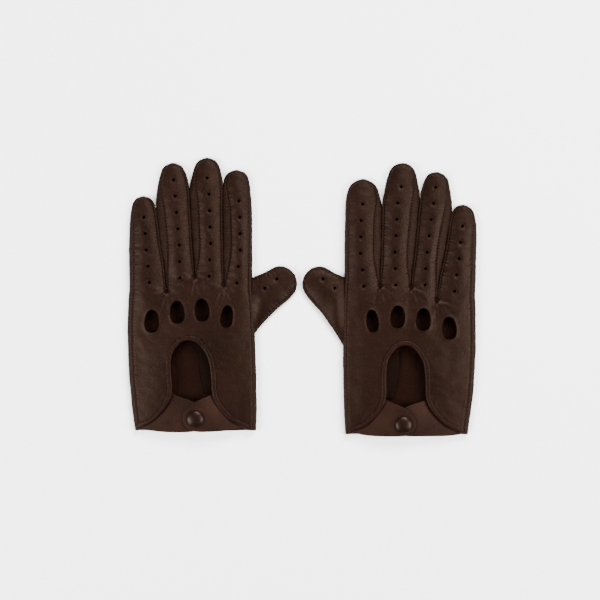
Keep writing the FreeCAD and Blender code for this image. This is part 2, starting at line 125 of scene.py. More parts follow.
def readFinger(glove, finger):
    joint = joints[f"{glove}_{finger}_bend"]
    root = Vector(joint["pos_m"])
    axis = Vector(joint["axis"])
    along = Vector((axis.y, -axis.x, 0)).normalized()  # the curl turns along down to -z
    across = Vector((along.y, -along.x, 0))  # towards +x
    local = [((p - root).dot(along), (p - root).dot(across))
             for p in nodePoints(f"{glove}_{finger}_back")]
    length = max(a for a, b in local)
    vents = sorted(a for a, b in local if abs(b) < 0.0014 and a < length - 0.004)
    rows = []
    for a in vents:  # each vent is a cluster of points on one small circle
        if not rows or a - rows[-1][-1] > 0.004:
            rows.append([])
        rows[-1].append(a)
    return {
        "name": finger, "root": root, "along": along, "across": across, "length": length,
        "rootHalf": max(abs(b) for a, b in local if a < 0.002),
        "tip": max(abs(b) for a, b in local if a > length / 2),
        "vents": [(row[0] + row[-1]) / 2 for row in rows],
    }


swells = {  # how far each finger swells on its little side and on its thumb side
    "little": (0.0012, 0.0008), "ring": (0.0042, 0.0012),
    "middle": (0.0030, 0.0014), "index": (0.0016, 0.0008),
}


def readGlove(glove):
    fingers = sorted((readFinger(glove, f) for f in fingerNames), key=lambda f: f["root"].x)
    little = -1 if fingers[0]["name"] == "little" else 1
    for left, finger, right in zip([None] + fingers, fingers, fingers[1:] + [None]):
        finger["beside"] = {-1: left, 1: right}
        littleSide, thumbSide = swells[finger["name"]]
        finger["swell"] = {little: littleSide, -little: thumbSide}
    palm = nodePoints(f"{glove}_palm_panel")
    wristY = min(p.y for p in palm)
    wrist = [p.x for p in palm if p.y < wristY + 0.0002]
    top = [p.x for p in palm if p.y > -0.02]
    low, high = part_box(f"{glove}_keyhole_binding")
    middle = (low.x + high.x) / 2
    reach = min(abs(p.x - middle) for p in nodePoints(f"{glove}_keyhole_binding")
                if wristY + 0.02 < p.y < high.y - 0.0205)
    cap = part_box(f"{glove}_snap_cap")
    return {
        "name": glove, "fingers": fingers,
        "little": little,  # the little finger's side in x
        "wristY": wristY, "wristLeft": min(wrist), "wristRight": max(wrist),
        "topLeft": min(top), "topRight": max(top),
        "keyholeX": middle, "keyholeReach": reach,
        "keyholeTop": high.y - keyhole["binding"], "knuckles": readKnuckles(glove),
        "snap": (cap[0] + cap[1]) / 2, "capRadius": (cap[1].x - cap[0].x) / 2,
        "tabTop": cap[0].z,
    }


def readKnuckles(glove):
    # the middles of the four oval openings in the back panel, in order of x
    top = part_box(f"{glove}_keyhole_binding")[1].y
    low = min(p.y for f in fingerNames for p in nodePoints(f"{glove}_{f}_back")) - 0.0085
    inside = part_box(f"{glove}_back_panel")
    points = sorted((p.x, p.y) for p in nodePoints(f"{glove}_back_panel")
                    if top - 0.003 < p.y < low and inside[0].x + 0.003 < p.x < inside[1].x - 0.005)
    groups = []
    for x, y in points:
        if not groups or x - groups[-1][-1][0] > 0.004:
            groups.append([])
        groups[-1].append((x, y))
    middles = []
    for group in groups:
        xs = [x for x, y in group]
        ys = [y for x, y in group]
        middles.append(Vector((mix(min(xs), max(xs), 0.5), mix(min(ys), max(ys), 0.5), 0)))
    return middles


keyhole = {
    "binding": 0.004,  # width of the turned hem
    "profile": [(0, 0), (0.0065, 0.0018), (0.0122, 0.0075), (0.0160, 0.0150), (0.0172, 0.024),
                (0.0174, 0.033), (0.0172, 0.040), (0.0180, 0.047), (0.0206, 0.054),
                (0.0262, 0.0618), (0.0342, 0.0695), (0.0433, 0.0738), (0.0560, 0.0772)],
    "lean": {"left": -0.0028, "right": -0.0008},  # how far the top is off the middle line
}


skin = {
    "columns": 4, "handRows": 12, "fingerRows": 10,
    "leather": 0.0009,
    "fourchette": 0.0068,  # how far in the little-side seam of a finger runs
    "edgeSeam": 0.0013,  # how far in every other seam of a finger runs
    "tipSeam": 0.0017,
    "littleEdge": 0.0040,  # the palm leather shows this far round the outer edge
    "indexEdge": 0.0026,
    "under": 0.0024,  # the palm seam runs this far under the edge
    "seamHeight": 0.0066, "seamRise": 0.0016, "fingerCrown": 0.0030,
    "handSeam": 0.0066, "handCrown": 0.0042, "wristCrown": 0.0026,
    "edgeHeight": 0.0042, "floor": 0.0006,
    "crotchDrop": 0.0042,  # the gap between fingers ends this far below the bending line
    "tipAngle": math.radians(50),
    "tipGrow": 0.0012,  # rounding a coarse cage draws it in by about this much
}


def fingerHalf(finger, a):
    shoulder = finger["length"] - finger["tip"]
    belly = 0.0009 * math.sin(math.pi * min(max(a / finger["length"], 0), 1))
    return mix(finger["rootHalf"], finger["tip"], min(max(a / shoulder, 0), 1)) + belly


def ownReach(finger, side, a):
    # half width on one side before the neighbours press on it; none above the tip
    shoulder = finger["length"] - finger["tip"]
    rise = smooth(a / (0.30 * finger["length"]))
    fall = 1 - smooth((a - 0.72 * finger["length"]) / (0.22 * finger["length"]))
    half = fingerHalf(finger, a) + finger["swell"][side] * rise * fall
    if a <= shoulder:
        return half
    reach = finger["tip"] ** 2 - (a - shoulder) ** 2
    return math.sqrt(reach) if reach > 0 else None


def sideReach(finger, side, a):
    # the half width on one side; the fingers swell until they press on each other
    half = ownReach(finger, side, min(a, finger["length"] - finger["tip"]))
    other = finger["beside"][side]
    if other is None:
        return half
    spot = finger["root"] + finger["along"] * a + finger["across"] * half * side
    b = (spot.y - other["root"].y) / other["along"].y
    facing = ownReach(other, -side, b)
    if facing is None:
        return half
    edge = other["root"] + other["along"] * b - other["across"] * facing * side
    grow = (edge - spot).dot(finger["across"]) * side / 2 + 0.00015
    if grow > 0:
        fade = 1 - smooth((b - other["length"] + other["tip"] * 1.5) / 0.010)
        fade *= 1 - smooth((a - finger["length"] + finger["tip"] * 1.7) / 0.011)
        grow = min(grow, 0.0030) * fade * smooth((a + 0.014) / 0.012)
    return half + grow


def outlinePoint(finger, side, a, inset):
    # a point near the finger's edge; past the shoulder it goes round the tip
    shoulder = finger["length"] - finger["tip"]
    if a <= shoulder:
        forward, sideways = a, sideReach(finger, side, a) - inset
    else:
        angle = math.acos(min((a - shoulder) / finger["tip"], 1))
        radius = fingerHalf(finger, shoulder) + skin["tipGrow"] - inset
        forward = shoulder + radius * math.cos(angle)
        sideways = radius * math.sin(angle)
    spot = finger["root"] + finger["along"] * forward + finger["across"] * sideways * side
    return Vector((spot.x, spot.y, 0))


def seamInset(glove, finger, side, a):
    # how far in from the edge the seam between back and fourchette lies
    length = finger["length"]
    nearTip = smooth((a - length + 0.034) / 0.028)
    if side == glove["little"]:
        deep = skin["littleEdge"] if finger["name"] == "little" else skin["fourchette"]
        rise = 1 if finger["name"] == "little" else smooth((a + 0.002) / 0.026)
        return mix(mix(skin["edgeSeam"], deep, rise), skin["tipSeam"], nearTip)
    plain = skin["indexEdge"] if finger["name"] == "index" else skin["edgeSeam"]
    return mix(plain, skin["tipSeam"], nearTip)


def handEdge(glove, side, t):
    # x of the hand's outline; t is 0 at the wrist and 1 at the knuckles
    top = glove["topRight"] if side > 0 else glove["topLeft"]
    wrist = glove["wristRight"] if side > 0 else glove["wristLeft"]
    outer = side == glove["little"]
    belly = (0.0018 if outer else 0.0014) * math.sin(math.pi * t) + 0.0007
    return mix(top, wrist, (1 - t) ** (1.7 if outer else 0.9)) + belly * side


def handInset(glove, side, level):
    if level == "under":
        return skin["under"]
    over = skin["littleEdge"] if side == glove["little"] else skin["indexEdge"]
    return over if level == "over" else -(over + skin["under"]) / 4


def knuckleSpots(glove, level):
    # the five points that bound the fingers along the knuckles: two edges, three crotches
    fingers = glove["fingers"]
    spots = []
    for left, right in zip(fingers, fingers[1:]):
        y = min(left["root"].y, right["root"].y) - skin["crotchDrop"]
        sides = []
        for finger, side in ((left, 1), (right, -1)):
            a = (y - finger["root"].y) / finger["along"].y
            sides.append(outlinePoint(finger, side, a, 0).x)
        spots.append(Vector((sum(sides) / 2, y + (0.0014 if level == "edge" else 0), 0)))
    for side, finger in ((-1, fingers[0]), (1, fingers[-1])):
        x = handEdge(glove, side, 1) - side * handInset(glove, side, level)
        end = Vector((x, finger["root"].y - skin["crotchDrop"] - 0.002, 0))
        spots.insert(0 if side < 0 else len(spots), end)
    return spots


def sideSpot(glove, order, side, s, level):
    # a point on one side of a finger; s is 0 at the knuckles and 1 where the tip cap starts
    finger = glove["fingers"][order]
    base = knuckleSpots(glove, level)[order + (1 if side > 0 else 0)]
    start = (base - finger["root"]).dot(finger["along"])
    shoulder = finger["length"] - finger["tip"]
    end = shoulder + finger["tip"] * math.cos(skin["tipAngle"])
    a = mix(start, end, s)
    top = seamInset(glove, finger, side, a)
    inset = {"over": top, "under": skin["under"], "edge": -(top + skin["under"]) / 4}[level]
    spot = outlinePoint(finger, side, a, inset)
    outer = order == (0 if side < 0 else 3)
    return base.lerp(spot, smooth(s * skin["fingerRows"] / (3.5 if outer else 1.4))), a


def fingerSpot(glove, order, column, s, level):
    finger = glove["fingers"][order]
    u = column / skin["columns"] * 2 - 1
    left, aLeft = sideSpot(glove, order, -1, s, level)
    right, aRight = sideSpot(glove, order, 1, s, level)
    spot = left.lerp(right, (u + 1) / 2)
    inset = {"over": skin["tipSeam"], "under": skin["under"],
             "edge": -(skin["tipSeam"] + skin["under"]) / 4}[level]
    radius = finger["tip"] + skin["tipGrow"] - inset
    cap = radius * (math.cos(u * skin["tipAngle"]) - math.cos(skin["tipAngle"]))
    spot += finger["along"] * cap * smooth((s - 0.55) / 0.45)
    spot.z = fingerHeight(glove, finger, u, mix(aLeft, aRight, (u + 1) / 2), level)
    return spot


def fingerHeight(glove, finger, u, a, level):
    thin = 1 - 0.26 * smooth((a - finger["length"] + 0.030) / 0.030)
    if level == "under":
        return skin["floor"]
    if level == "edge":
        return skin["edgeHeight"] * thin
    deep = skin["fourchette"] - skin["edgeSeam"]
    rises = [(seamInset(glove, finger, side, a) - skin["edgeSeam"]) / deep for side in (-1, 1)]
    seam = skin["seamHeight"] + skin["seamRise"] * mix(rises[0], rises[1], (u + 1) / 2)
    return (seam + skin["fingerCrown"] * (1 - u * u)) * thin


def handSpot(glove, column, t, level):
    columns = 4 * skin["columns"]
    order, step = divmod(column, skin["columns"])
    spots = knuckleSpots(glove, level)
    if column == columns:
        order, step = 3, skin["columns"]
    part = step / skin["columns"]
    top = spots[order].lerp(spots[order + 1], part)
    if t == 1:
        return top
    left, right = spots[0].x, spots[-1].x
    topShare = (top.x - left) / (right - left)
    share = mix(column / columns, topShare, t)
    edges = [handEdge(glove, side, t) - side * handInset(glove, side, level)
             for side in (-1, 1)]
    return Vector((mix(edges[0], edges[1], share), mix(glove["wristY"], top.y, t), 0))


def handHeight(column, t, level):
    u = column / (4 * skin["columns"]) * 2 - 1
    if level == "under":
        return skin["floor"]
    if level == "edge":
        return skin["edgeHeight"]
    crown = mix(skin["wristCrown"], skin["handCrown"], smooth(t / 0.5))
    inFinger = (column % skin["columns"]) / skin["columns"] * 2 - 1
    puff = skin["seamHeight"] + 0.0004 + skin["fingerCrown"] * (1.1 - inFinger * inFinger)
    return mix(skin["handSeam"] + crown * (1 - abs(u) ** 3), puff, smooth((t - 0.72) / 0.28))


def buildCage(glove):
    # a coarse closed skin, open only at the wrist: back on top, palm below, walls between
    bm = bmesh.new()
    columnOf, rowOf, fingerOf, levelOf = (
        bm.verts.layers.float.new(n) for n in ("column", "row", "finger", "level"))
    bm.faces.layers.int.new("region")
    columns = 4 * skin["columns"]
    bmesh.ops.create_grid(bm, x_segments=columns, y_segments=skin["handRows"], size=1)
    for v in bm.verts:
        v[columnOf] = round((v.co.x + 1) / 2 * columns)
        v[rowOf] = (v.co.y + 1) / 2
    knuckleEdges = [e for e in bm.edges if all(v[rowOf] > 0.999 for v in e.verts)]
    for order in range(4):
        first, last = order * skin["columns"], (order + 1) * skin["columns"]
        edges = [e for e in knuckleEdges if all(first <= v[columnOf] <= last for v in e.verts)]
        for row in range(1, skin["fingerRows"] + 1):
            made = bmesh.ops.extrude_edge_only(bm, edges=edges)["geom"]
            fresh = {g for g in made if isinstance(g, bmesh.types.BMVert)}
            for v in fresh:
                v[rowOf] = 1 + row / skin["fingerRows"]
                v[fingerOf] = order + 1
            edges = [g for g in made if isinstance(g, bmesh.types.BMEdge)
                     and all(v in fresh for v in g.verts)]
    made = bmesh.ops.extrude_face_region(bm, geom=bm.faces[:], use_keep_orig=True)["geom"]
    for v in (g for g in made if isinstance(g, bmesh.types.BMVert)):
        v[levelOf] = 2
    wristWall = [f for f in bm.faces if all(v[rowOf] < 0.001 for v in f.verts)]
    bmesh.ops.delete(bm, geom=wristWall, context="FACES")
    posts = [e for e in bm.edges if abs(e.verts[0][levelOf] - e.verts[1][levelOf]) > 1]
    bmesh.ops.subdivide_edges(bm, edges=posts, cuts=1)
    for v in bm.verts:
        v.co = cageSpot(glove, v[columnOf], v[rowOf], round(v[fingerOf]) - 1, round(v[levelOf]))
    tagRegions(bm)
    region = bm.faces.layers.int["region"]
    crease = bm.edges.layers.float.new("crease_edge")
    for e in bm.edges:
        if len({f[region] // 100 for f in e.link_faces}) > 1:
            e[crease] = 0.45
    bmesh.ops.recalc_face_normals(bm, faces=bm.faces[:])
    return meshObject(f"{glove['name']}_skin", bm)


def cageSpot(glove, column, row, order, number):
    level = ("over", "edge", "under")[number]
    column = round(column)
    if order >= 0:
        return fingerSpot(glove, order, column - order * skin["columns"], row - 1, level)
    spot = handSpot(glove, column, row, level)
    spot.z = handHeight(column, row, level)
    return spot


def tagRegions(bm):
    # 1 and 10 to 13 back of hand and fingers, +100 palm, +200 left wall, +300 right wall
    columnOf, fingerOf, levelOf = (bm.verts.layers.float[n] for n in ("column", "finger", "level"))
    region = bm.faces.layers.int["region"]
    for face in bm.faces:
        level = sum(v[levelOf] for v in face.verts) / len(face.verts)
        order = round(max(v[fingerOf] for v in face.verts)) - 1
        place = 10 + order if order >= 0 else 1
        if level < 0.1:
            face[region] = place
        elif level > 1.9:
            face[region] = 100 + place
        else:
            first = order * skin["columns"] if order >= 0 else 0
            width = skin["columns"] if order >= 0 else 4 * skin["columns"]
            middle = sum(v[columnOf] - first for v in face.verts) / len(face.verts)
            face[region] = place + (200 if middle < width / 2 else 300)


# shaping the leather

folds = {
    # the ridges below each gap between fingers: their headings in degrees, and how strong
    "angles": ((-150, 0.5), (-122, 0.8), (-96, 1.0), (-68, 0.9), (-35, 0.45)),
    "width": 0.0014, "reach": 0.021, "height": 0.0014,
    "pit": 0.0009, "pitRadius": 0.0035,  # right in the gap
    "soft": 0.00052, "ripple": 0.00024,  # broad and small waves all over
    "crumple": 0.0007,  # only on the palm
    "groove": 0.00055, "grooveWidth": 0.0008,  # along every seam
    "pucker": 0.00019, "puckerPitch": 0.0036, "puckerReach": 0.0042,
}


def keyholeOutline(glove):
    # from the wrist on the left, round the top, to the wrist on the right
    top = glove["keyholeTop"]
    full = top - glove["wristY"]
    deep = keyhole["profile"][-1][1]
    half = []
    for width, drop in keyhole["profile"]:
        drop *= full / deep
        shift = keyhole["lean"][glove["name"]] * (1 - smooth(drop / 0.045))
        half.append((width * mix(glove["keyholeReach"] / 0.0172, 1, smooth(drop / 0.07)), shift, drop))
    points = [(glove["keyholeX"] + shift - w, top - d) for w, shift, d in reversed(half)]
    points += [(glove["keyholeX"] + shift + w, top - d) for w, shift, d in half[1:]]
    points = [Vector((x, y, 0)) for x, y in points]
    points[0].y -= 0.004
    points[-1].y -= 0.004
    return smoothPath(points, 0.0011)


def smoothPath(points, step):
    # a Catmull-Rom curve through the points, sampled evenly
    dense = []
    padded = [points[0] * 2 - points[1]] + points + [points[-1] * 2 - points[-2]]
    for p0, p1, p2, p3 in zip(padded, padded[1:], padded[2:], padded[3:]):
        for i in range(24):
            t = i / 24
            dense.append(0.5 * (2 * p1 + (p2 - p0) * t + (2 * p0 - 5 * p1 + 4 * p2 - p3) * t * t
                                + (3 * p1 - p0 - 3 * p2 + p3) * t ** 3))
    dense.append(points[-1].copy())
    return evenPath(dense, step)


def evenPath(points, step):
    lengths = [0.0]
    for a, b in zip(points, points[1:]):
        lengths.append(lengths[-1] + (b - a).length)
    count = max(int(lengths[-1] / step), 2)
    even, k = [], 0
    for i in range(count + 1):
        want = lengths[-1] * i / count
        while k < len(points) - 2 and lengths[k + 1] < want:
            k += 1
        span = max(lengths[k + 1] - lengths[k], 1e-9)
        even.append(points[k].lerp(points[k + 1], (want - lengths[k]) / span))
    return even


def inPolygon(p, outline):
    inside = False
    for a, b in zip(outline, outline[1:] + outline[:1]):
        if (a.y > p.y) != (b.y > p.y) and p.x < (b.x - a.x) * (p.y - a.y) / (b.y - a.y) + a.x:
            inside = not inside
    return inside


def seamChains(bm):
    # the seams that are really sewn, as ordered chains of vertices
    region = bm.faces.layers.int["region"]
    nextTo = {}
    for e in bm.edges:
        kinds = sorted(f[region] for f in e.link_faces)
        if len(kinds) < 2 or kinds[0] // 100 == kinds[1] // 100 or min(k // 100 for k in kinds) > 1:
            continue
        outer = kinds[1] in (201, 301, 210, 313) and kinds[0] // 100 == 1 and kinds[0] > 100
        if outer:
            continue  # the palm leather just wraps round here
        for a, b in (e.verts, reversed(e.verts)):
            nextTo.setdefault(a, []).append(b)
    seen, chains = set(), []
    for start in sorted(nextTo, key=lambda v: (len(nextTo[v]), v.index)):
        if start in seen:
            continue
        chain, v = [], start
        while v is not None:
            seen.add(v)
            chain.append(v)
            v = next((w for w in nextTo[v] if w not in seen), None)
        chains.append(chain)
    return chains


def measureSeams(bm):
    # for every vertex, how far the nearest seam is and how far along that seam
    away = bm.verts.layers.float.new("seamAway")
    along = bm.verts.layers.float.new("seamAlong")
    marks = []
    for chain in seamChains(bm):
        run = 0.0
        for a, b in zip(chain, chain[1:] + chain[-1:]):
            marks.append((a.co.copy(), run))
            run += (b.co - a.co).length
    tree = KDTree(len(marks))
    for i, (co, run) in enumerate(marks):
        tree.insert(co, i)
    tree.balance()
    for v in bm.verts:
        co, i, distance = tree.find(v.co)
        v[away] = distance
        v[along] = marks[i][1]


def crotches(glove):
    return [Vector((p.x, p.y, 0)) for p in knuckleSpots(glove, "over")[1:4]]


def wrinkle(glove, gaps, v, level, away, along):
    p = v.co
    flat = Vector((p.x, p.y, 0))
    top = smooth(1.2 - level)
    push = folds["soft"] * noise.noise(Vector((p.x * 62, p.y * 48, p.z * 60)) + glove["offset"])
    push += folds["ripple"] * noise.noise(Vector((p.x * 120, p.y * 210, p.z * 150)) + glove["offset"])
    for gap in gaps:
        out = flat - gap
        r = out.length
        if r > 0.03:
            continue
        heading = math.degrees(math.atan2(out.y, out.x))
        for angle, strength in folds["angles"]:
            turn = math.radians(heading - angle - 4 * gap.x * 100)
            side = r * math.sin(turn)
            if math.cos(turn) > 0:
                reach = smooth(r / 0.003) * (1 - smooth(r / folds["reach"]))
                ridge = math.exp(-(side / (folds["width"] + r * 0.05)) ** 2)
                push += top * strength * folds["height"] * reach * ridge
        push -= top * folds["pit"] * math.exp(-(r / folds["pitRadius"]) ** 2)
    if level > 1.6:
        crumple = noise.noise(Vector((p.x * 190, p.y * 60, 1)) + glove["offset"])
        crumple += 0.5 * noise.noise(Vector((p.x * 90, p.y * 150, 5)) + glove["offset"])
        push -= folds["crumple"] * abs(crumple) * smooth(away / 0.004)
    push -= folds["groove"] * math.exp(-(away / folds["grooveWidth"]) ** 2)
    swell = noise.noise(Vector((along * 120, 0, 3)))
    beat = math.sin(along / folds["puckerPitch"] * 2 * math.pi + 2.5 * swell)
    push += folds["pucker"] * (0.6 + swell) * beat * math.exp(-(away / folds["puckerReach"]) ** 2)
    return push


knuckle = {
    "wide": 0.0064, "tall": 0.0098, "point": 0.10, "square": 2.3,
    "tilts": {"little": -4, "ring": 2, "middle": 3, "index": -6},
    "slim": 0.85,  # the index finger's is narrower
    "rim": 0.0005, "rimWidth": 0.16,
}


def ovals(glove):
    # middle, half width, half length and tilt of each knuckle opening
    shapes = []
    for finger, middle in zip(glove["fingers"], glove["knuckles"]):
        tilt = math.radians(knuckle["tilts"][finger["name"]]) * -glove["little"]
        slim = knuckle["slim"] if finger["name"] == "index" else 1.0
        shapes.append((middle, knuckle["wide"] * slim, knuckle["tall"], tilt))
    return shapes


def ovalReach(p, shape):
    # 1 on the rim of the oval, less inside it
    middle, wide, tall, tilt = shape
    x, y = p.x - middle.x, p.y - middle.y
    a = (x * math.cos(tilt) + y * math.sin(tilt)) / wide
    b = (y * math.cos(tilt) - x * math.sin(tilt)) / tall
    a *= 1 + knuckle["point"] * b  # one end is a little narrower
    power = knuckle["square"]
    return (abs(a) ** power + abs(b) ** power) ** (1 / power)


vent = {
    "radius": 0.0014, "pitch": 0.014,
    "room": 1.2, "reach": 0.0036,  # the mesh moves out round the hole as far as this
    "dimple": 0.0005, "dimpleRadius": 0.0024,
}


def ventSpots(glove):
    # the vents keep to the middle of each finger's back piece
    spots = []
    for finger in glove["fingers"]:
        row = finger["vents"]
        if finger["name"] != "little":  # one more where the finger meets the hand
            row = [row[0] - vent["pitch"]] + row
        for a in row:
            edges = [side * (sideReach(finger, side, a) - seamInset(glove, finger, side, a))
                     for side in (-1, 1)]
            spots.append(finger["root"] + finger["along"] * a + finger["across"] * sum(edges) / 2)
    return spots


def cutOpening(bm, inside, rim):
    # removes the top faces inside an outline and pulls the cut edge onto it
    region = bm.faces.layers.int["region"]
    doomed = [f for f in bm.faces if f[region] == 1 and inside(f.calc_center_median())]
    marked = {v for f in doomed for v in f.verts}
    bmesh.ops.delete(bm, geom=doomed, context="FACES")
    edge = [v for v in marked if v.is_valid and v.is_boundary]
    ring = {w for v in edge for e in v.link_edges for w in e.verts} - set(edge)
    for v in edge:
        v.co = rim(v.co)
    for turn in range(4):
        bmesh.ops.smooth_vert(bm, verts=list(ring) + edge, factor=0.35,
                              use_axis_x=True, use_axis_y=True, use_axis_z=False)
        for v in edge:
            v.co = rim(v.co)


def plantTree(verts):
    tree = KDTree(len(verts))
    for v in verts:
        tree.insert(v.co, v.index)
    tree.balance()
    return tree


def dimple(verts, spots):
    for v in verts:
        for spot in spots:
            r = math.hypot(v.co.x - spot.x, v.co.y - spot.y)
            if r < 0.008:
                v.co.z -= vent["dimple"] * math.exp(-(r / vent["dimpleRadius"]) ** 2)


def cutVent(bm, tree, spot):
    # an eight-sided hole where one vertex was; the mesh round it moves out to leave room
    bm.verts.ensure_lookup_table()
    co, index, distance = tree.find(Vector((spot.x, spot.y, 0.011)))
    heart = bm.verts[index]
    near = [v for f in heart.link_faces for v in f.verts if v != heart]
    ring = list(dict.fromkeys(near))
    ring.sort(key=lambda v: math.atan2(v.co.y - heart.co.y, v.co.x - heart.co.x))
    first = math.atan2(ring[0].co.y - heart.co.y, ring[0].co.x - heart.co.x)
    room = vent["radius"] * vent["room"]
    for co, index, distance in tree.find_range(heart.co, vent["reach"]):
        v = bm.verts[index]
        out = Vector((v.co.x - spot.x, v.co.y - spot.y, 0))
        if v in ring or out.length < 1e-6 or out.length > vent["reach"]:
            continue
        grown = room + (1 - room / vent["reach"]) * out.length
        v.co += out * (grown / out.length - 1)
    for i, v in enumerate(ring):
        angle = first + 2 * math.pi * i / len(ring)
        v.co.x = spot.x + vent["radius"] * math.cos(angle)
        v.co.y = spot.y + vent["radius"] * math.sin(angle)
    return heart


def noteNormals(bm):
    # the whole skin's normals, for the pieces that it is cut into
    bm.normal_update()
    skinNormal = bm.verts.layers.float_vector.new("skinNormal")
    for v in bm.verts:
        v[skinNormal] = v.normal


def shapeSkin(glove, obj):
    bm = bmesh.new()
    bm.from_mesh(obj.data)
    bm.verts.index_update()
    bm.normal_update()
    levelOf = bm.verts.layers.float["level"]
    measureSeams(bm)
    away = bm.verts.layers.float["seamAway"]
    along = bm.verts.layers.float["seamAlong"]
    gaps = crotches(glove)
    pushes = [wrinkle(glove, gaps, v, v[levelOf], v[away], v[along]) for v in bm.verts]
    for v, push in zip(bm.verts, pushes):
        v.co += v.normal * push
    shapes = ovals(glove)
    outline = keyholeOutline(glove)
    tops = [v for v in bm.verts if v[levelOf] < 0.9]
    vents = ventSpots(glove)
    for v in tops:
        for shape in shapes:
            reach = ovalReach(v.co, shape)
            if reach < 1.6:
                v.co.z += knuckle["rim"] * math.exp(-((reach - 1) / knuckle["rimWidth"]) ** 2)
    dimple(tops, vents)
    tree = plantTree(tops)
    hearts = [cutVent(bm, tree, spot) for spot in vents]
    bmesh.ops.delete(bm, geom=hearts, context="VERTS")
    for shape in shapes:
        def onRim(co):
            flat = Vector((shape[0].x, shape[0].y, co.z))
            return flat + (co - flat) / ovalReach(co, shape)
        cutOpening(bm, lambda c: ovalReach(c, shape) < 1, onRim)
    rimTree = KDTree(len(outline))
    for i, p in enumerate(outline):
        rimTree.insert(p, i)
    rimTree.balance()
    box = [min(p.x for p in outline), max(p.x for p in outline), max(p.y for p in outline)]

    def onKeyhole(co):
        near, i, distance = rimTree.find(Vector((co.x, co.y, 0)))
        if co.y < glove["wristY"] + 0.0006:
            return co
        a, b = outline[max(i - 1, 0)], outline[min(i + 1, len(outline) - 1)]
        way = (b - a).normalized()
        spot = near + way * (Vector((co.x, co.y, 0)) - near).dot(way)
        return Vector((spot.x, max(spot.y, glove["wristY"]), co.z))

    def inKeyhole(c):
        return box[0] < c.x < box[1] and c.y < box[2] and inPolygon(c, outline)
    cutOpening(bm, inKeyhole, onKeyhole)
    noteNormals(bm)
    bm.to_mesh(obj.data)
    bm.free()
    glove["outline"] = outline


# splitting the skin into the pieces that are sewn together

def pieceRegions(glove):
    # name of each leather piece and the region numbers it takes
    left = {f"{glove['name']}_back_panel": [1], f"{glove['name']}_palm_panel": [101, 201, 301]}
    for order, finger in enumerate(glove["fingers"]):
        name = f"{glove['name']}_{finger['name']}"
        left[f"{name}_back"] = [10 + order]
        palm = left[f"{name}_palm"] = [110 + order]
        for side, wall in ((-1, 210 + order), (1, 310 + order)):
            towards = "little_side" if side == glove["little"] else "thumb_side"
            outer = finger["name"] == ("little" if side == glove["little"] else "index")
            if outer:
                palm.append(wall)
            else:
                left[f"{name}_fourchette_{towards}"] = [wall]
    return left


def cutPiece(source, name, regions):
    bm = bmesh.new()
    bm.from_mesh(source.data)
    region = bm.faces.layers.int["region"]
    others = [f for f in bm.faces if f[region] not in regions]
    bmesh.ops.delete(bm, geom=others, context="FACES")
    bm.faces.layers.int.new("side")
    obj = meshObject(name, bm)
    modifier = obj.modifiers.new("thickness", "SOLIDIFY")
    modifier.thickness = skin["leather"]
    modifier.offset = -1
    applyModifiers(obj)
    markSolid(obj)
    shadeSmooth(obj)
    keepNormals(obj)
    return obj


def markSolid(obj):
    # side 1 is the grain face, 0 the flesh face, 2 the cut edge
    mesh = obj.data
    skinNormal = mesh.attributes["skinNormal"].data
    side = mesh.attributes["side"].data
    for polygon in mesh.polygons:
        facing = sum(polygon.normal.dot(Vector(skinNormal[v].vector)) for v in polygon.vertices)
        facing /= len(polygon.vertices)
        side[polygon.index].value = 1 if facing > 0.55 else 0 if facing < -0.55 else 2


def keepNormals(obj):
    # the grain face keeps the whole skin's normals, so that pieces meet without a hard line
    mesh = obj.data
    skinNormal = mesh.attributes["skinNormal"].data
    side = mesh.attributes["side"].data
    normals = [Vector((0, 0, 0))] * len(mesh.loops)
    for polygon in mesh.polygons:
        kind = side[polygon.index].value
        for loop in polygon.loop_indices:
            vertex = mesh.loops[loop].vertex_index
            given = Vector(skinNormal[vertex].vector)
            normals[loop] = given if kind == 1 else -given if kind == 0 else polygon.normal.copy()
    mesh.normals_split_custom_set(normals)


gloves = [readGlove(name) for name in ("left", "right")]
pieces = {}
tops = {}
for glove in gloves:
    glove["offset"] = Vector((3.1, 1.7, 0.4)) if glove["name"] == "left" else Vector((8.3, 5.2, 2.6))
    whole = subdivide(buildCage(glove), 3)
    shapeSkin(glove, whole)
    tops[glove["name"]] = BVHTree.FromObject(whole, bpy.context.evaluated_depsgraph_get())
    for name, regions in pieceRegions(glove).items():
        pieces[name] = cutPiece(whole, f"{name}_leather", regions)
    bpy.data.objects.remove(whole)
    print("leather", glove["name"], len(pieces))


# parts swept or gathered from simple rings

def sweep(name, rings):
    # carries a ring of points along; rings is one list of points for every stop
    bm = bmesh.new()
    size = len(rings[0])
    bmesh.ops.create_circle(bm, cap_ends=False, segments=size, radius=1)
    bm.verts.ensure_lookup_table()
    order = bm.verts[:]
    edges = bm.edges[:]
    for v, spot in zip(order, rings[0]):
        v.co = spot
    for ring in rings[1:]:
        made = bmesh.ops.extrude_edge_only(bm, edges=edges)["geom"]
        fresh = {g for g in made if isinstance(g, bmesh.types.BMVert)}
        edges = [g for g in made if isinstance(g, bmesh.types.BMEdge)
                 and all(v in fresh for v in g.verts)]
        order = [next(e.other_vert(v) for e in v.link_edges if e.other_vert(v) in fresh)
                 for v in order]
        for v, spot in zip(order, ring):
            v.co = spot
    bmesh.ops.holes_fill(bm, edges=[e for e in bm.edges if e.is_boundary])
    bmesh.ops.recalc_face_normals(bm, faces=bm.faces[:])
    return meshObject(name, bm)


def surfaceAt(glove, x, y):
    # height and normal of the glove's back, or of the palm's inside where it is open
    hit, normal, index, distance = tops[glove["name"]].ray_cast(Vector((x, y, 0.1)), Vector((0, 0, -1)))
    return (hit, normal) if hit else (Vector((x, y, 0.0015)), Vector((0, 0, 1)))


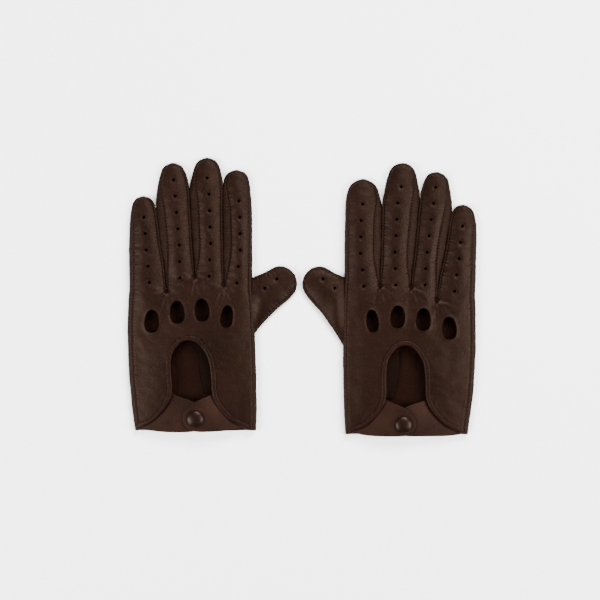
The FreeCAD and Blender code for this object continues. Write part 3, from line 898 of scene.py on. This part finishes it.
hem = {
    "shape": ((-0.0004, -0.0012), (-0.0007, -0.0002), (-0.0002, 0.0007), (0.0008, 0.0010),
              (0.0019, 0.0009), (0.0030, 0.0010), (0.0038, 0.0006), (0.0042, -0.0002),
              (0.0030, -0.0010), (0.0012, -0.0014)),
    "stitchInset": 0.0031, "stitchPitch": 0.0031, "stitchLength": 0.0021, "stitchRadius": 0.00024,
    "wave": 0.0002,
}


def outlineFrames(glove):
    # stops along the keyhole's edge: place, the way into the leather, and the height there
    outline = glove["outline"]
    frames = []
    for i, p in enumerate(outline):
        a, b = outline[max(i - 2, 0)], outline[min(i + 2, len(outline) - 1)]
        way = (b - a).normalized()
        out = Vector((-way.y, way.x, 0))
        if p.y < glove["wristY"] + 0.0008:
            continue
        inner = p + out * 0.0022
        frames.append((p, way, out, surfaceAt(glove, inner.x, inner.y)[0].z))
    heights = [f[3] for f in frames]
    for turn in range(3):
        before = heights[:1] + heights
        after = heights[1:] + heights[-1:]
        heights = [(a + b + c) / 3 for a, b, c in zip(before, heights, after)]
    return [(p, way, out, z) for (p, way, out, old), z in zip(frames, heights)]


def makeHem(glove):
    rings = []
    for i, (p, way, out, z) in enumerate(glove["frames"]):
        swell = 1 + 0.12 * noise.noise(Vector((i * 0.11, 2.2, 0)) + glove["offset"])
        lift = hem["wave"] * noise.noise(Vector((i * 0.17, 9.1, 0)) + glove["offset"])
        ring = [p + out * (d * swell) + Vector((0, 0, z + h * 1.05 + lift)) for d, h in hem["shape"]]
        for spot in ring:
            spot.y = max(spot.y, glove["wristY"] - 0.0006)
        rings.append(ring)
    obj = sweep(f"{glove['name']}_keyhole_hem", rings)
    return subdivide(obj, 1)


def makeStitches(name, stops):
    # one small bead of thread per stop; a stop is a place, a direction and an up direction
    bm = bmesh.new()
    length, radius = hem["stitchLength"], hem["stitchRadius"]
    for place, way, up in stops:
        side = up.cross(way).normalized()
        turn = Matrix((way, side, up)).transposed().to_4x4()
        size = Matrix.Diagonal((length / 2, radius * 1.2, radius, 1))
        bmesh.ops.create_uvsphere(bm, u_segments=8, v_segments=6, radius=1,
                                  matrix=Matrix.Translation(place) @ turn @ size)
    return meshObject(name, bm)


def hemStops(glove):
    stops, last = [], None
    for p, way, out, z in glove["frames"]:
        spot = p + out * hem["stitchInset"] + Vector((0, 0, z + 0.00108))
        if last is None or (spot - last).length >= hem["stitchPitch"]:
            stops.append((spot, (way + out * 0.12).normalized(), Vector((0, 0, 1))))
            last = spot
    return stops


tab = {
    "snap": (((0.047, -0.0050), (0.0215, 0.0262)), ((0.0385, -0.0088), (0.0156, 0.0213)),
             ((0.0250, -0.0104), (0.0092, 0.0186)), ((0.0125, -0.0110), (0.0035, 0.0163)),
             ((0.0022, -0.0114), (-0.0040, 0.0128)), ((-0.0060, -0.0092), (-0.0088, 0.0066))),
    "stud": (((0.050, -0.0085), (0.0240, 0.0248)), ((0.0410, -0.0100), (0.0188, 0.0203)),
             ((0.0260, -0.0116), (0.0105, 0.0180)), ((0.0120, -0.0122), (0.0030, 0.0156)),
             ((0.0000, -0.0112), (-0.0045, 0.0110)), ((-0.0060, -0.0080), (-0.0080, 0.0050))),
    "bulge": 0.0030, "stitchInset": 0.0026, "thick": 0.00115, "columns": 6,
    "puff": 0.0005, "ripple": 0.0003,
    "snapHeights": (0.0052, 0.0070, 0.0098, 0.0116, 0.0123, 0.0119),
    "studHeights": (0.0050, 0.0068, 0.0088, 0.0097, 0.0101, 0.0100),
}


def makeTab(glove, kind, way):
    # way is +1 when the tab comes from the right
    bm = bmesh.new()
    rows = tab[kind]
    columns = tab["columns"]
    across = bm.verts.layers.float.new("across")
    along = bm.verts.layers.float.new("along")
    bmesh.ops.create_grid(bm, x_segments=len(rows) - 1, y_segments=columns, size=1)
    lowest = glove["snap"].y - glove["wristY"]
    for v in bm.verts:
        s = (v.co.x + 1) / 2
        t = (v.co.y + 1) / 2
        i = round(s * (len(rows) - 1))
        low, high = (Vector(c) for c in rows[i])
        low.y = max(low.y, -lowest - 0.0015)
        spot = low.lerp(high, t)
        u = t * 2 - 1
        spot.x -= tab["bulge"] * (1 - u * u) * smooth(s * 1.6 - 0.6)
        ripple = noise.noise(Vector((spot.x * 180, spot.y * 180, s + 4)))
        rise = tab[f"{kind}Heights"][i]
        rise += tab["puff"] * (1 - u * u) * smooth(1 - s) + tab["ripple"] * ripple
        v[across], v[along] = u, s
        v.co = Vector((glove["snap"].x + way * spot.x, glove["snap"].y + spot.y, rise))
    bmesh.ops.recalc_face_normals(bm, faces=bm.faces[:])
    if sum(f.normal.z for f in bm.faces) < 0:
        bmesh.ops.reverse_faces(bm, faces=bm.faces[:])
    obj = meshObject(f"{glove['name']}_{kind}_tab_leather", bm)
    thick = obj.modifiers.new("thickness", "SOLIDIFY")
    thick.thickness = tab["thick"]
    thick.offset = -1
    applyModifiers(obj)
    bm = bmesh.new()
    bm.from_mesh(obj.data)
    crease = bm.edges.layers.float.new("crease_edge")
    for e in bm.edges:
        if len(e.link_faces) == 2 and e.calc_face_angle(0) > 0.8:
            e[crease] = 0.62
    bm.to_mesh(obj.data)
    bm.free()
    return subdivide(obj, 3)


def tabStitches(glove, way):
    # a row of stitches inside the edge of the upper tab
    surface = BVHTree.FromObject(pieces[f"{glove['name']}_snap_tab"],
                                 bpy.context.evaluated_depsgraph_get())
    rows = tab["snap"][1:]
    lows = [Vector((*low, 0)) for low, high in rows]
    highs = [Vector((*high, 0)) for low, high in rows]
    end = (lows[-1] + highs[-1]) / 2 - Vector((tab["bulge"], 0, 0))
    rim = smoothPath(lows + [end] + highs[::-1], 0.0004)
    heart = Vector((0.004, 0.001, 0))
    stops, last = [], None
    for a, b in zip(rim, rim[1:]):
        run = (b - a).normalized()
        out = Vector((-run.y, run.x, 0))
        if out.dot(a - heart) > 0:
            out = -out
        spot = a + out * tab["stitchInset"]
        place = Vector((glove["snap"].x + way * spot.x, glove["snap"].y + spot.y, 0.03))
        if last is not None and (place - last).length < hem["stitchPitch"] * 0.9:
            continue
        hit, normal, index, distance = surface.ray_cast(place, Vector((0, 0, -1)))
        if hit and spot.x < 0.026:
            stops.append((hit + normal * 0.00008, Vector((way * run.x, run.y, 0)), normal))
            last = place
    return stops


cap = {
    "profile": ((0, 0.00265), (0.0022, 0.00255), (0.0046, 0.0021), (0.0063, 0.00145),
                (0.0073, 0.0006), (0.0074, 0.0001), (0.0070, -0.0001), (0, -0.0001)),
}


def makeCap(glove):
    bm = bmesh.new()
    middle = Vector((glove["snap"].x, glove["snap"].y, glove["tabTop"]))
    scale = glove["capRadius"] / 0.0074
    spots = [bm.verts.new(middle + Vector((r * scale, 0, h))) for r, h in cap["profile"]]
    for a, b in zip(spots, spots[1:]):
        bm.edges.new((a, b))
    bmesh.ops.spin(bm, geom=bm.verts[:] + bm.edges[:], cent=middle, axis=(0, 0, 1),
                   angle=2 * math.pi, steps=32, use_merge=True)
    bmesh.ops.remove_doubles(bm, verts=bm.verts[:], dist=0.00001)
    bmesh.ops.recalc_face_normals(bm, faces=bm.faces[:])
    return subdivide(meshObject(f"{glove['name']}_snap_cap_dome", bm), 2)


thumb = {
    "rows": 9, "columns": 6, "high": 0.0078, "low": 0.0005, "seam": 0.0054, "middle": 0.0034,
    "tipRadius": 0.0125,  # the cage is a little bigger than the tip it rounds to
    "insets": (-0.0003, -0.0018, 0.00036),  # over, edge and under
    "under": 0.009, "angles": (105, -32), "bow": 0.0016,
}


def thumbSides(glove):
    # the two long edges of the thumb, from under the hand to where the round tip starts
    points = nodePoints(f"{glove['name']}_thumb_back")
    way = -glove["little"]
    reach = max(p.x * way for p in points)
    radius = thumb["tipRadius"]
    topY = max(p.y for p in points)
    tip = Vector((way * (reach - radius), topY - radius, 0))
    rootX = min(p.x * way for p in points)
    rootTop = max(p.y for p in points if p.x * way < rootX + 0.0005)
    rootLow = min(p.y for p in points)
    ends = []
    for angle in thumb["angles"]:
        turn = math.radians(angle)
        ends.append(tip + radius * Vector((way * math.cos(turn), math.sin(turn), 0)))
    top = Vector((way * (rootX - thumb["under"]), rootTop - 0.004, 0))
    low = Vector((way * (rootX - thumb["under"]), rootLow - 0.004, 0))
    return {"tip": tip, "radius": radius, "way": way, "ends": ends, "roots": (top, low)}


def thumbSpot(sides, s, u, inset):
    # u runs from -1 on the upper edge to 1 on the lower edge
    edges = []
    for root, end in zip(sides["roots"], sides["ends"]):
        inward = (sides["tip"] - end).normalized() * inset
        edges.append(root.lerp(end, s) + inward)
    bow = Vector((-sides["way"] * 0.4, 0.9, 0)) * thumb["bow"] * math.sin(math.pi * min(s * 1.1, 1))
    edges[1] += bow
    spot = edges[0].lerp(edges[1], (u + 1) / 2)
    first, last = (math.radians(a) for a in thumb["angles"])
    angle = mix(first, last, (u + 1) / 2)
    radius = sides["radius"] - inset
    arc = sides["tip"] + radius * Vector((sides["way"] * math.cos(angle), math.sin(angle), 0))
    flat = sides["ends"][0].lerp(sides["ends"][1], (u + 1) / 2)
    return spot.lerp(spot + (arc - flat), smooth((s - 0.5) / 0.5))


def buildThumb(glove):
    sides = thumbSides(glove)
    bm = bmesh.new()
    levelOf = bm.verts.layers.float.new("level")
    sOf = bm.verts.layers.float.new("row")
    uOf = bm.verts.layers.float.new("column")
    bm.faces.layers.int.new("region")
    bmesh.ops.create_grid(bm, x_segments=thumb["rows"], y_segments=thumb["columns"], size=1)
    for v in bm.verts:
        v[sOf] = (v.co.x + 1) / 2
        v[uOf] = v.co.y
    made = bmesh.ops.extrude_face_region(bm, geom=bm.faces[:], use_keep_orig=True)["geom"]
    for v in (g for g in made if isinstance(g, bmesh.types.BMVert)):
        v[levelOf] = 2
    rootWall = [f for f in bm.faces if all(v[sOf] < 0.001 for v in f.verts)]
    bmesh.ops.delete(bm, geom=rootWall, context="FACES")
    posts = [e for e in bm.edges if abs(e.verts[0][levelOf] - e.verts[1][levelOf]) > 1]
    bmesh.ops.subdivide_edges(bm, edges=posts, cuts=1)
    for v in bm.verts:
        level, s, u = round(v[levelOf]), v[sOf], v[uOf]
        v.co = thumbSpot(sides, s, u, thumb["insets"][level])
        crown = (1 - u * u) * (1 - 0.35 * smooth((s - 0.6) / 0.4))
        tuck = 1 - 0.45 * (1 - smooth(s / 0.35))
        thin = 1 - 0.2 * smooth((s - 0.6) / 0.4)
        high = thumb["seam"] * thin + (thumb["high"] - thumb["seam"] + 0.0008) * crown
        v.co.z = (high * tuck, thumb["middle"] * tuck, thumb["low"])[level]
    region = bm.faces.layers.int["region"]
    crease = bm.edges.layers.float.new("crease_edge")
    for f in bm.faces:
        level = sum(v[levelOf] for v in f.verts) / len(f.verts)
        f[region] = 1 if level < 0.1 else 101
    for e in bm.edges:
        if len({f[region] for f in e.link_faces}) > 1:
            e[crease] = 0.4
    bmesh.ops.recalc_face_normals(bm, faces=bm.faces[:])
    if sum(f.normal.z for f in bm.faces if f[region] == 1) < 0:
        bmesh.ops.reverse_faces(bm, faces=bm.faces[:])
    obj = subdivide(meshObject(f"{glove['name']}_thumb_skin", bm), 3)
    bm = bmesh.new()
    bm.from_mesh(obj.data)
    bm.verts.index_update()
    bm.normal_update()
    measureSeams(bm)
    away = bm.verts.layers.float["seamAway"]
    along = bm.verts.layers.float["seamAlong"]
    levelOf = bm.verts.layers.float["level"]
    pushes = [wrinkle(glove, [], v, v[levelOf], v[away], v[along]) for v in bm.verts]
    for v, push in zip(bm.verts, pushes):
        v.co += v.normal * push
    spots = thumbVents(glove)
    upper = [v for v in bm.verts if v[levelOf] < 0.9]
    tree = plantTree(upper)
    dimple(upper, spots)
    hearts = [cutVent(bm, tree, spot) for spot in spots]
    bmesh.ops.delete(bm, geom=hearts, context="VERTS")
    noteNormals(bm)
    bm.to_mesh(obj.data)
    bm.free()
    back = cutPiece(obj, f"{glove['name']}_thumb_back_leather", [1])
    palm = cutPiece(obj, f"{glove['name']}_thumb_palm_leather", [101])
    bpy.data.objects.remove(obj)
    return back, palm


def thumbVents(glove):
    # each vent is a ring of points on the top face of the CAD thumb
    points = nodePoints(f"{glove['name']}_thumb_back")
    top = max(p.z for p in points)
    rings = []
    for p in (p for p in points if p.z > top - 0.0001):
        for ring in rings:
            if min((p - q).length for q in ring) < 0.0012:
                ring.append(p)
                break
        else:
            rings.append([p])
    spots = []
    for ring in rings:
        low = Vector((min(p.x for p in ring), min(p.y for p in ring), 0))
        high = Vector((max(p.x for p in ring), max(p.y for p in ring), 0))
        size = high - low
        if 0.0022 < size.x < 0.0030 and 0.0022 < size.y < 0.0030:
            inwards = Vector((glove["little"], 1, 0)) * 0.0036  # the visual tip is a little rounder
            spots.append((low + high) / 2 + inwards)
    return spots


palmHem = {
    "width": 0.0075, "thick": 0.0017, "wave": 0.0007, "stops": 60, "sides": 10, "proud": 0.0012,
    "inset": 0.0022, "height": 0.0012, "heightWave": 0.0005, "lowest": 0.0002,
}


def makePalmHem(glove):
    # the turned edge of the palm along the wrist; it shows a little below the strap
    left, right = glove["wristLeft"] + palmHem["inset"], glove["wristRight"] - palmHem["inset"]
    rings = []
    for i in range(palmHem["stops"] + 1):
        x = mix(left, right, i / palmHem["stops"])
        bow = math.sin(math.pi * i / palmHem["stops"])
        wave = palmHem["wave"] * noise.noise(Vector((x * 70, 3.3, 0)) + glove["offset"])
        y = glove["wristY"] - palmHem["proud"] * bow + wave * bow
        lift = palmHem["heightWave"] * noise.noise(Vector((x * 90, 7, 0)) + glove["offset"])
        z = palmHem["height"] + lift * bow
        ring = []
        for j in range(palmHem["sides"]):
            turn = 2 * math.pi * j / palmHem["sides"]
            d = palmHem["width"] / 2 * (1 - math.cos(turn))
            height = z + palmHem["thick"] / 2 * math.sin(turn)
            ring.append(Vector((x, y + d, max(height, palmHem["lowest"]))))
        rings.append(ring)
    return subdivide(sweep(f"{glove['name']}_palm_hem_fold", rings), 1)


gusset = {
    "columns": 14, "rows": 18, "thick": 0.0012,
    "edge": (0.0135, 0.0052),  # from the keyhole's middle line, at the crescent's ends and its middle
    "below": 0.046, "above": 0.012, "inset": 0.003,
    "height": 0.0030, "puff": 0.0022, "wave": 0.0004,
}


def makeGusset(glove):
    # the root of the thumb piece, seen as a soft crescent on the inside of the palm
    low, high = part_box(f"{glove['name']}_thumb_gusset")
    way = -glove["little"]
    outer = high.x if way > 0 else low.x
    bm = bmesh.new()
    bmesh.ops.create_grid(bm, x_segments=gusset["columns"], y_segments=gusset["rows"], size=1)
    for v in bm.verts:
        s, t = (v.co.x + 1) / 2, (v.co.y + 1) / 2
        bulge = math.sin(math.pi * min(t * 0.72 + 0.12, 1))
        edge = glove["keyholeX"] + way * mix(*gusset["edge"], bulge)
        x = mix(edge, outer - way * gusset["inset"], s)
        y = mix(glove["keyholeTop"] - gusset["below"], glove["keyholeTop"] + gusset["above"], t)
        rise = gusset["puff"] * smooth(s * 3.2) * smooth(t * 6) * smooth((1 - t) * 6) * (1 - 0.4 * s)
        rise += gusset["wave"] * noise.noise(Vector((x * 120, y * 90, 2)))
        v.co = Vector((x, y, gusset["height"] + rise))
    if sum(f.normal.z for f in bm.faces) < 0:
        bmesh.ops.reverse_faces(bm, faces=bm.faces[:])
    obj = meshObject(f"{glove['name']}_thumb_gusset_leather", bm)
    thick = obj.modifiers.new("thickness", "SOLIDIFY")
    thick.thickness = gusset["thick"]
    thick.offset = -1
    applyModifiers(obj)
    return subdivide(obj, 1)


threads = {}
for glove in gloves:
    name = glove["name"]
    glove["frames"] = outlineFrames(glove)
    pieces[f"{name}_keyhole_binding"] = makeHem(glove)
    pieces[f"{name}_hem_thread"] = makeStitches(f"{name}_hem_stitches", hemStops(glove))
    towardsThumb = -glove["little"]
    pieces[f"{name}_snap_tab"] = makeTab(glove, "snap", towardsThumb)
    pieces[f"{name}_stud_tab"] = makeTab(glove, "stud", -towardsThumb)
    threads[name] = makeStitches(f"{name}_tab_stitches", tabStitches(glove, towardsThumb))
    shadeSmooth(threads[name])
    pieces[f"{name}_snap_cap"] = makeCap(glove)
    pieces[f"{name}_thumb_back"], pieces[f"{name}_thumb_palm"] = buildThumb(glove)
    pieces[f"{name}_palm_hem"] = makePalmHem(glove)
    pieces[f"{name}_thumb_gusset"] = makeGusset(glove)
    for part in ("keyhole_binding", "hem_thread", "snap_tab", "stud_tab", "snap_cap", "palm_hem",
                 "thumb_gusset"):
        shadeSmooth(pieces[f"{name}_{part}"])
    print("fittings", name)


# materials

def newMaterial(name):
    material = bpy.data.materials.new(name)
    material.use_nodes = True
    tree = material.node_tree
    return material, tree, tree.nodes["Principled BSDF"]


def addNode(tree, kind, **values):
    node = tree.nodes.new(kind)
    for key, value in values.items():
        if hasattr(node, key):
            setattr(node, key, value)
        else:
            node.inputs[key.replace("_", " ")].default_value = value
    return node


def mathNode(tree, operation, a, b=None, c=None):
    node = tree.nodes.new("ShaderNodeMath")
    node.operation = operation
    for socket, value in zip(node.inputs, (a, b, c)):
        if value is None:
            continue
        if isinstance(value, (int, float)):
            socket.default_value = value
        else:
            tree.links.new(value, socket)
    return node.outputs[0]


def blendColor(tree, factor, a, b):
    node = tree.nodes.new("ShaderNodeMix")
    node.data_type = "RGBA"
    for socket, value in ((node.inputs["Factor"], factor), (node.inputs[6], a), (node.inputs[7], b)):
        if isinstance(value, (tuple, float, int)):
            socket.default_value = (*value, 1) if isinstance(value, tuple) else value
        else:
            tree.links.new(value, socket)
    return node.outputs[2]


sewn = {  # how a seam shows in the leather's grain; its groove is painted darker as painted shade
    "groove": 0.0007, "grooveDepth": 0.0003, "paintedGrooveShade": (0.0015, 0.0008, 0.0006),
    "ribs": 0.0030, "ribDepth": 0.00012,
}


def leather(name, look):
    # grain, soft wrinkles, rubbed high places and, where there is a seam, its puckers, with painted shade in
    # the seam's groove and a painted highlight on the pucker crests
    material, tree, shader = newMaterial(name)
    where = addNode(tree, "ShaderNodeTexCoord").outputs["Object"]

    def texture(kind, output, **values):
        node = addNode(tree, kind, **values)
        tree.links.new(where, node.inputs["Vector"])
        return node.outputs[output]
    broad = texture("ShaderNodeTexNoise", "Fac", Scale=look["patch"], Detail=3.0)
    fine = texture("ShaderNodeTexNoise", "Fac", Scale=900.0, Detail=4.0)
    grain = texture("ShaderNodeTexVoronoi", "Distance", feature="DISTANCE_TO_EDGE", Scale=look["grain"])
    crease = texture("ShaderNodeTexNoise", "Fac", Scale=look["crease"], Detail=5.0, Distortion=1.2)
    patch = mathNode(tree, "SMOOTH_MIN", mathNode(tree, "MULTIPLY_ADD", broad, 2.4, -0.7), 1.0, 0.2)
    color = blendColor(tree, mathNode(tree, "MAXIMUM", patch, 0.0), look["dark"], look["color"])
    rubbed = mathNode(tree, "MULTIPLY", mathNode(tree, "GREATER_THAN", fine, 0.56), 0.25)
    color = blendColor(tree, rubbed, color, look["wearAndHighlight"])
    height = mathNode(tree, "MULTIPLY", mathNode(tree, "MINIMUM", grain, 0.12), look["grainDepth"])
    height = mathNode(tree, "MULTIPLY_ADD", crease, look["creaseDepth"], height)
    height = mathNode(tree, "MULTIPLY_ADD", fine, look["fineDepth"], height)
    if look.get("seam"):
        away = addNode(tree, "ShaderNodeAttribute", attribute_name="seamAway").outputs["Fac"]
        run = addNode(tree, "ShaderNodeAttribute", attribute_name="seamAlong").outputs["Fac"]
        groove = mathNode(tree, "SUBTRACT", 1.0, mathNode(tree, "DIVIDE", away, sewn["groove"]))
        groove = mathNode(tree, "MAXIMUM", groove, 0.0)
        band = mathNode(tree, "SUBTRACT", 1.0, mathNode(tree, "DIVIDE", away, sewn["ribs"]))
        band = mathNode(tree, "MAXIMUM", band, 0.0)
        ribs = mathNode(tree, "SINE", mathNode(tree, "MULTIPLY", run, 2 * math.pi / look["seam"]))
        ribs = mathNode(tree, "MULTIPLY", ribs, band)
        height = mathNode(tree, "MULTIPLY_ADD", ribs, sewn["ribDepth"], height)
        height = mathNode(tree, "MULTIPLY_ADD", groove, -sewn["grooveDepth"], height)
        # painted shade: the colour turns darker in the seam's groove
        color = blendColor(tree, mathNode(tree, "MULTIPLY", groove, 0.5), color, sewn["paintedGrooveShade"])
        # painted highlight: the crests of the seam's puckers turn lighter, in the same colour as the rubbed
        # wear
        ribHighlight = mathNode(tree, "MULTIPLY", mathNode(tree, "MAXIMUM", ribs, 0.0), 0.35)
        color = blendColor(tree, ribHighlight, color, look["wearAndHighlight"])
    bump = addNode(tree, "ShaderNodeBump", Strength=look.get("bump", 1.0), Distance=1.0)
    tree.links.new(height, bump.inputs["Height"])
    tree.links.new(bump.outputs["Normal"], shader.inputs["Normal"])
    tree.links.new(color, shader.inputs["Base Color"])
    rough = mathNode(tree, "MULTIPLY_ADD", broad, 0.16, look["rough"] - 0.08)
    rough = mathNode(tree, "MULTIPLY_ADD", fine, 0.12, rough)
    tree.links.new(rough, shader.inputs["Roughness"])
    shader.inputs["Specular IOR Level"].default_value = look.get("specular", 0.085)
    shader.inputs["Specular Tint"].default_value = (1.0, 0.70, 0.55, 1)
    shader.inputs["Coat Weight"].default_value = look.get("coat", 0.0)
    shader.inputs["Coat Roughness"].default_value = 0.25
    return material


hide = {"color": (0.0042, 0.0011, 0.0005), "dark": (0.0025, 0.0007, 0.0003), "wearAndHighlight": (0.012, 0.0044, 0.0026),
        "patch": 38.0, "grain": 1250.0, "crease": 260.0, "grainDepth": 0.00014, "creaseDepth": 0.00022,
        "fineDepth": 0.00003, "rough": 0.40, "seam": 0.0026}
looks = {
    "back_leather": hide,
    "palm_leather": {**hide, "color": (0.0039, 0.0010, 0.0005), "rough": 0.43},
    # the fourchettes are darker than the backs: painted shade in the gaps between the fingers
    "fourchette_leather": {**hide, "color": (0.0034, 0.0009, 0.0004), "rough": 0.46, "specular": 0.07},
    "binding_leather": {**hide, "color": (0.0043, 0.0011, 0.0006), "rough": 0.40, "seam": None},
    "strap_leather": {**hide, "color": (0.0100, 0.0032, 0.0018), "rough": 0.46, "seam": None},
    "covered_cap": {**hide, "color": (0.0032, 0.0008, 0.0004), "rough": 0.36, "seam": None,
                    "grainDepth": 0.00003, "creaseDepth": 0.00006, "coat": 0.05},
    "flesh": {**hide, "color": (0.0033, 0.0005, 0.0002), "dark": (0.0019, 0.0003, 0.0001), "rough": 0.75,
              "wearAndHighlight": (0.010, 0.0024, 0.0012), "seam": None, "grainDepth": 0.0, "fineDepth": 0.0001,
              "creaseDepth": 0.0003, "specular": 0.06},
    # darker than the flesh side: painted shade on the thumb's root inside the palm
    "gusset": {**hide, "color": (0.0020, 0.0005, 0.0002), "dark": (0.0013, 0.0003, 0.0001), "rough": 0.7,
               "wearAndHighlight": (0.005, 0.0015, 0.0008), "seam": None, "specular": 0.05},
    "raw": {**hide, "color": (0.0090, 0.0034, 0.0022), "rough": 0.7, "seam": None, "grainDepth": 0.0},
    "thread": {**hide, "color": (0.020, 0.0085, 0.0055), "wearAndHighlight": (0.05, 0.025, 0.017), "rough": 0.6,
               "seam": None, "grain": 3000.0},
}


def metal(name):
    material, tree, shader = newMaterial(name)
    where = addNode(tree, "ShaderNodeTexCoord").outputs["Object"]
    marks = addNode(tree, "ShaderNodeTexNoise", Scale=1400.0, Detail=3.0)
    tree.links.new(where, marks.inputs["Vector"])
    color = blendColor(tree, marks.outputs["Fac"], (0.30, 0.26, 0.20), (0.48, 0.43, 0.35))
    tree.links.new(color, shader.inputs["Base Color"])
    tree.links.new(mathNode(tree, "MULTIPLY_ADD", marks.outputs["Fac"], 0.2, 0.2), shader.inputs["Roughness"])
    bump = addNode(tree, "ShaderNodeBump", Strength=0.5, Distance=0.0002)
    tree.links.new(marks.outputs["Fac"], bump.inputs["Height"])
    tree.links.new(bump.outputs["Normal"], shader.inputs["Normal"])
    shader.inputs["Metallic"].default_value = 1.0
    return material


materials = {name: leather(name, look) for name, look in looks.items()}
materials["snap_metal"] = metal("snap_metal")


def slotOf(node):
    for part, slot in (("fourchette", "fourchette_leather"), ("binding", "binding_leather"),
                       ("thread", "thread"), ("cap", "covered_cap"), ("tab", "strap_leather"),
                       ("snap_", "snap_metal"), ("back", "back_leather")):
        if part in node:
            return slot
    return "palm_leather"


def dress(piece, node):
    slot = slotOf(node)
    piece.data.materials.clear()
    # the thumb gusset gets the darker colour, a painted shade
    piece.data.materials.append(materials["gusset" if "gusset" in node else slot])
    if "side" in piece.data.attributes:
        piece.data.materials.append(materials["flesh"])
        piece.data.materials.append(materials["raw"])
        side = piece.data.attributes["side"].data
        for polygon in piece.data.polygons:
            polygon.material_index = {1: 0, 0: 1, 2: 2}[side[polygon.index].value]


bend = {"before": 0.0039, "after": 0.0160}


def attach(piece, node, glove):
    # hand, finger or strap: leather that crosses a hinge bends over it
    name = glove["name"]
    for finger in glove["fingers"]:
        if node.startswith(f"{name}_{finger['name']}_"):
            way = finger["along"]
            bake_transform(piece, f"{name}_hand", f"{name}_{finger['name']}",
                     start=tuple(finger["root"] - way * bend["before"]),
                     end=tuple(finger["root"] + way * bend["after"]))
            return
    if "thumb_back" in node or "thumb_palm" in node:
        pivot = Vector(joints[f"{name}_thumb_swing"]["pos_m"])
        way = Vector((-glove["little"], 0, 0))
        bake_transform(piece, f"{name}_hand", f"{name}_thumb", start=tuple(pivot - way * 0.006),
                 end=tuple(pivot + way * 0.009))
    elif "snap_tab" in node:
        pivot = Vector(joints[f"{name}_strap_open"]["pos_m"])
        axis = Vector(joints[f"{name}_strap_open"]["axis"])
        way = Vector((-axis.y, axis.x, 0)).normalized()
        if way.dot(glove["snap"] - pivot) < 0:
            way = -way
        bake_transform(piece, f"{name}_hand", f"{name}_strap", start=tuple(pivot - way * 0.004),
                 end=tuple(pivot + way * 0.004))
    elif "snap_cap" in node:
        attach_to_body(piece, f"{name}_strap")
    else:
        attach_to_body(piece, f"{name}_hand")


for glove in gloves:
    for node, piece in pieces.items():
        if node.startswith(glove["name"]):
            dress(piece, node)
            attach(piece, node, glove)
            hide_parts(node)
    dress(threads[glove["name"]], "thread")
    attach(threads[glove["name"]], "snap_tab", glove)
for node, obj in frame["nodes"].items():
    if node not in pieces:
        obj.data.materials.clear()
        obj.data.materials.append(materials["snap_metal"])
print("materials and joints")


# floor, light and camera

stage = {
    "view": 0.5127, "distance": 1.5, "centre": (-0.0017, -0.0018), "floor": 9, "world": 0.28,
    "lights": (("window", (-1.25, -0.45, 1.25), 88), ("far", (0.42, 1.25, 1.25), 90),
               ("right", (1.32, -0.2, 1.2), 78)),
    "lightSize": 0.9,
}


def makeStage():
    bm = bmesh.new()
    bmesh.ops.create_grid(bm, x_segments=1, y_segments=1, size=stage["floor"])
    floor = meshObject("floor", bm)
    paper, tree, shader = newMaterial("floor_paper")
    shader.inputs["Base Color"].default_value = (0.96, 0.96, 0.957, 1)
    shader.inputs["Roughness"].default_value = 0.9
    floor.data.materials.append(paper)
    camera = bpy.data.objects.new("camera", bpy.data.cameras.new("camera"))
    camera.data.sensor_width = 36
    camera.data.lens = 36 * stage["distance"] / stage["view"]
    camera.location = (*stage["centre"], stage["distance"] + 0.008)
    bpy.context.scene.collection.objects.link(camera)
    bpy.context.scene.camera = camera
    for name, place, power in stage["lights"]:
        light = bpy.data.objects.new(name, bpy.data.lights.new(name, "AREA"))
        light.data.size = stage["lightSize"]
        light.data.energy = power
        light.location = place
        light.rotation_euler = (-Vector(place)).to_track_quat("-Z", "Y").to_euler()
        bpy.context.scene.collection.objects.link(light)
    world = bpy.data.worlds.new("studio")
    world.use_nodes = True
    world.node_tree.nodes["Background"].inputs["Color"].default_value = (1, 1, 1, 1)
    world.node_tree.nodes["Background"].inputs["Strength"].default_value = stage["world"]
    bpy.context.scene.world = world


makeStage()
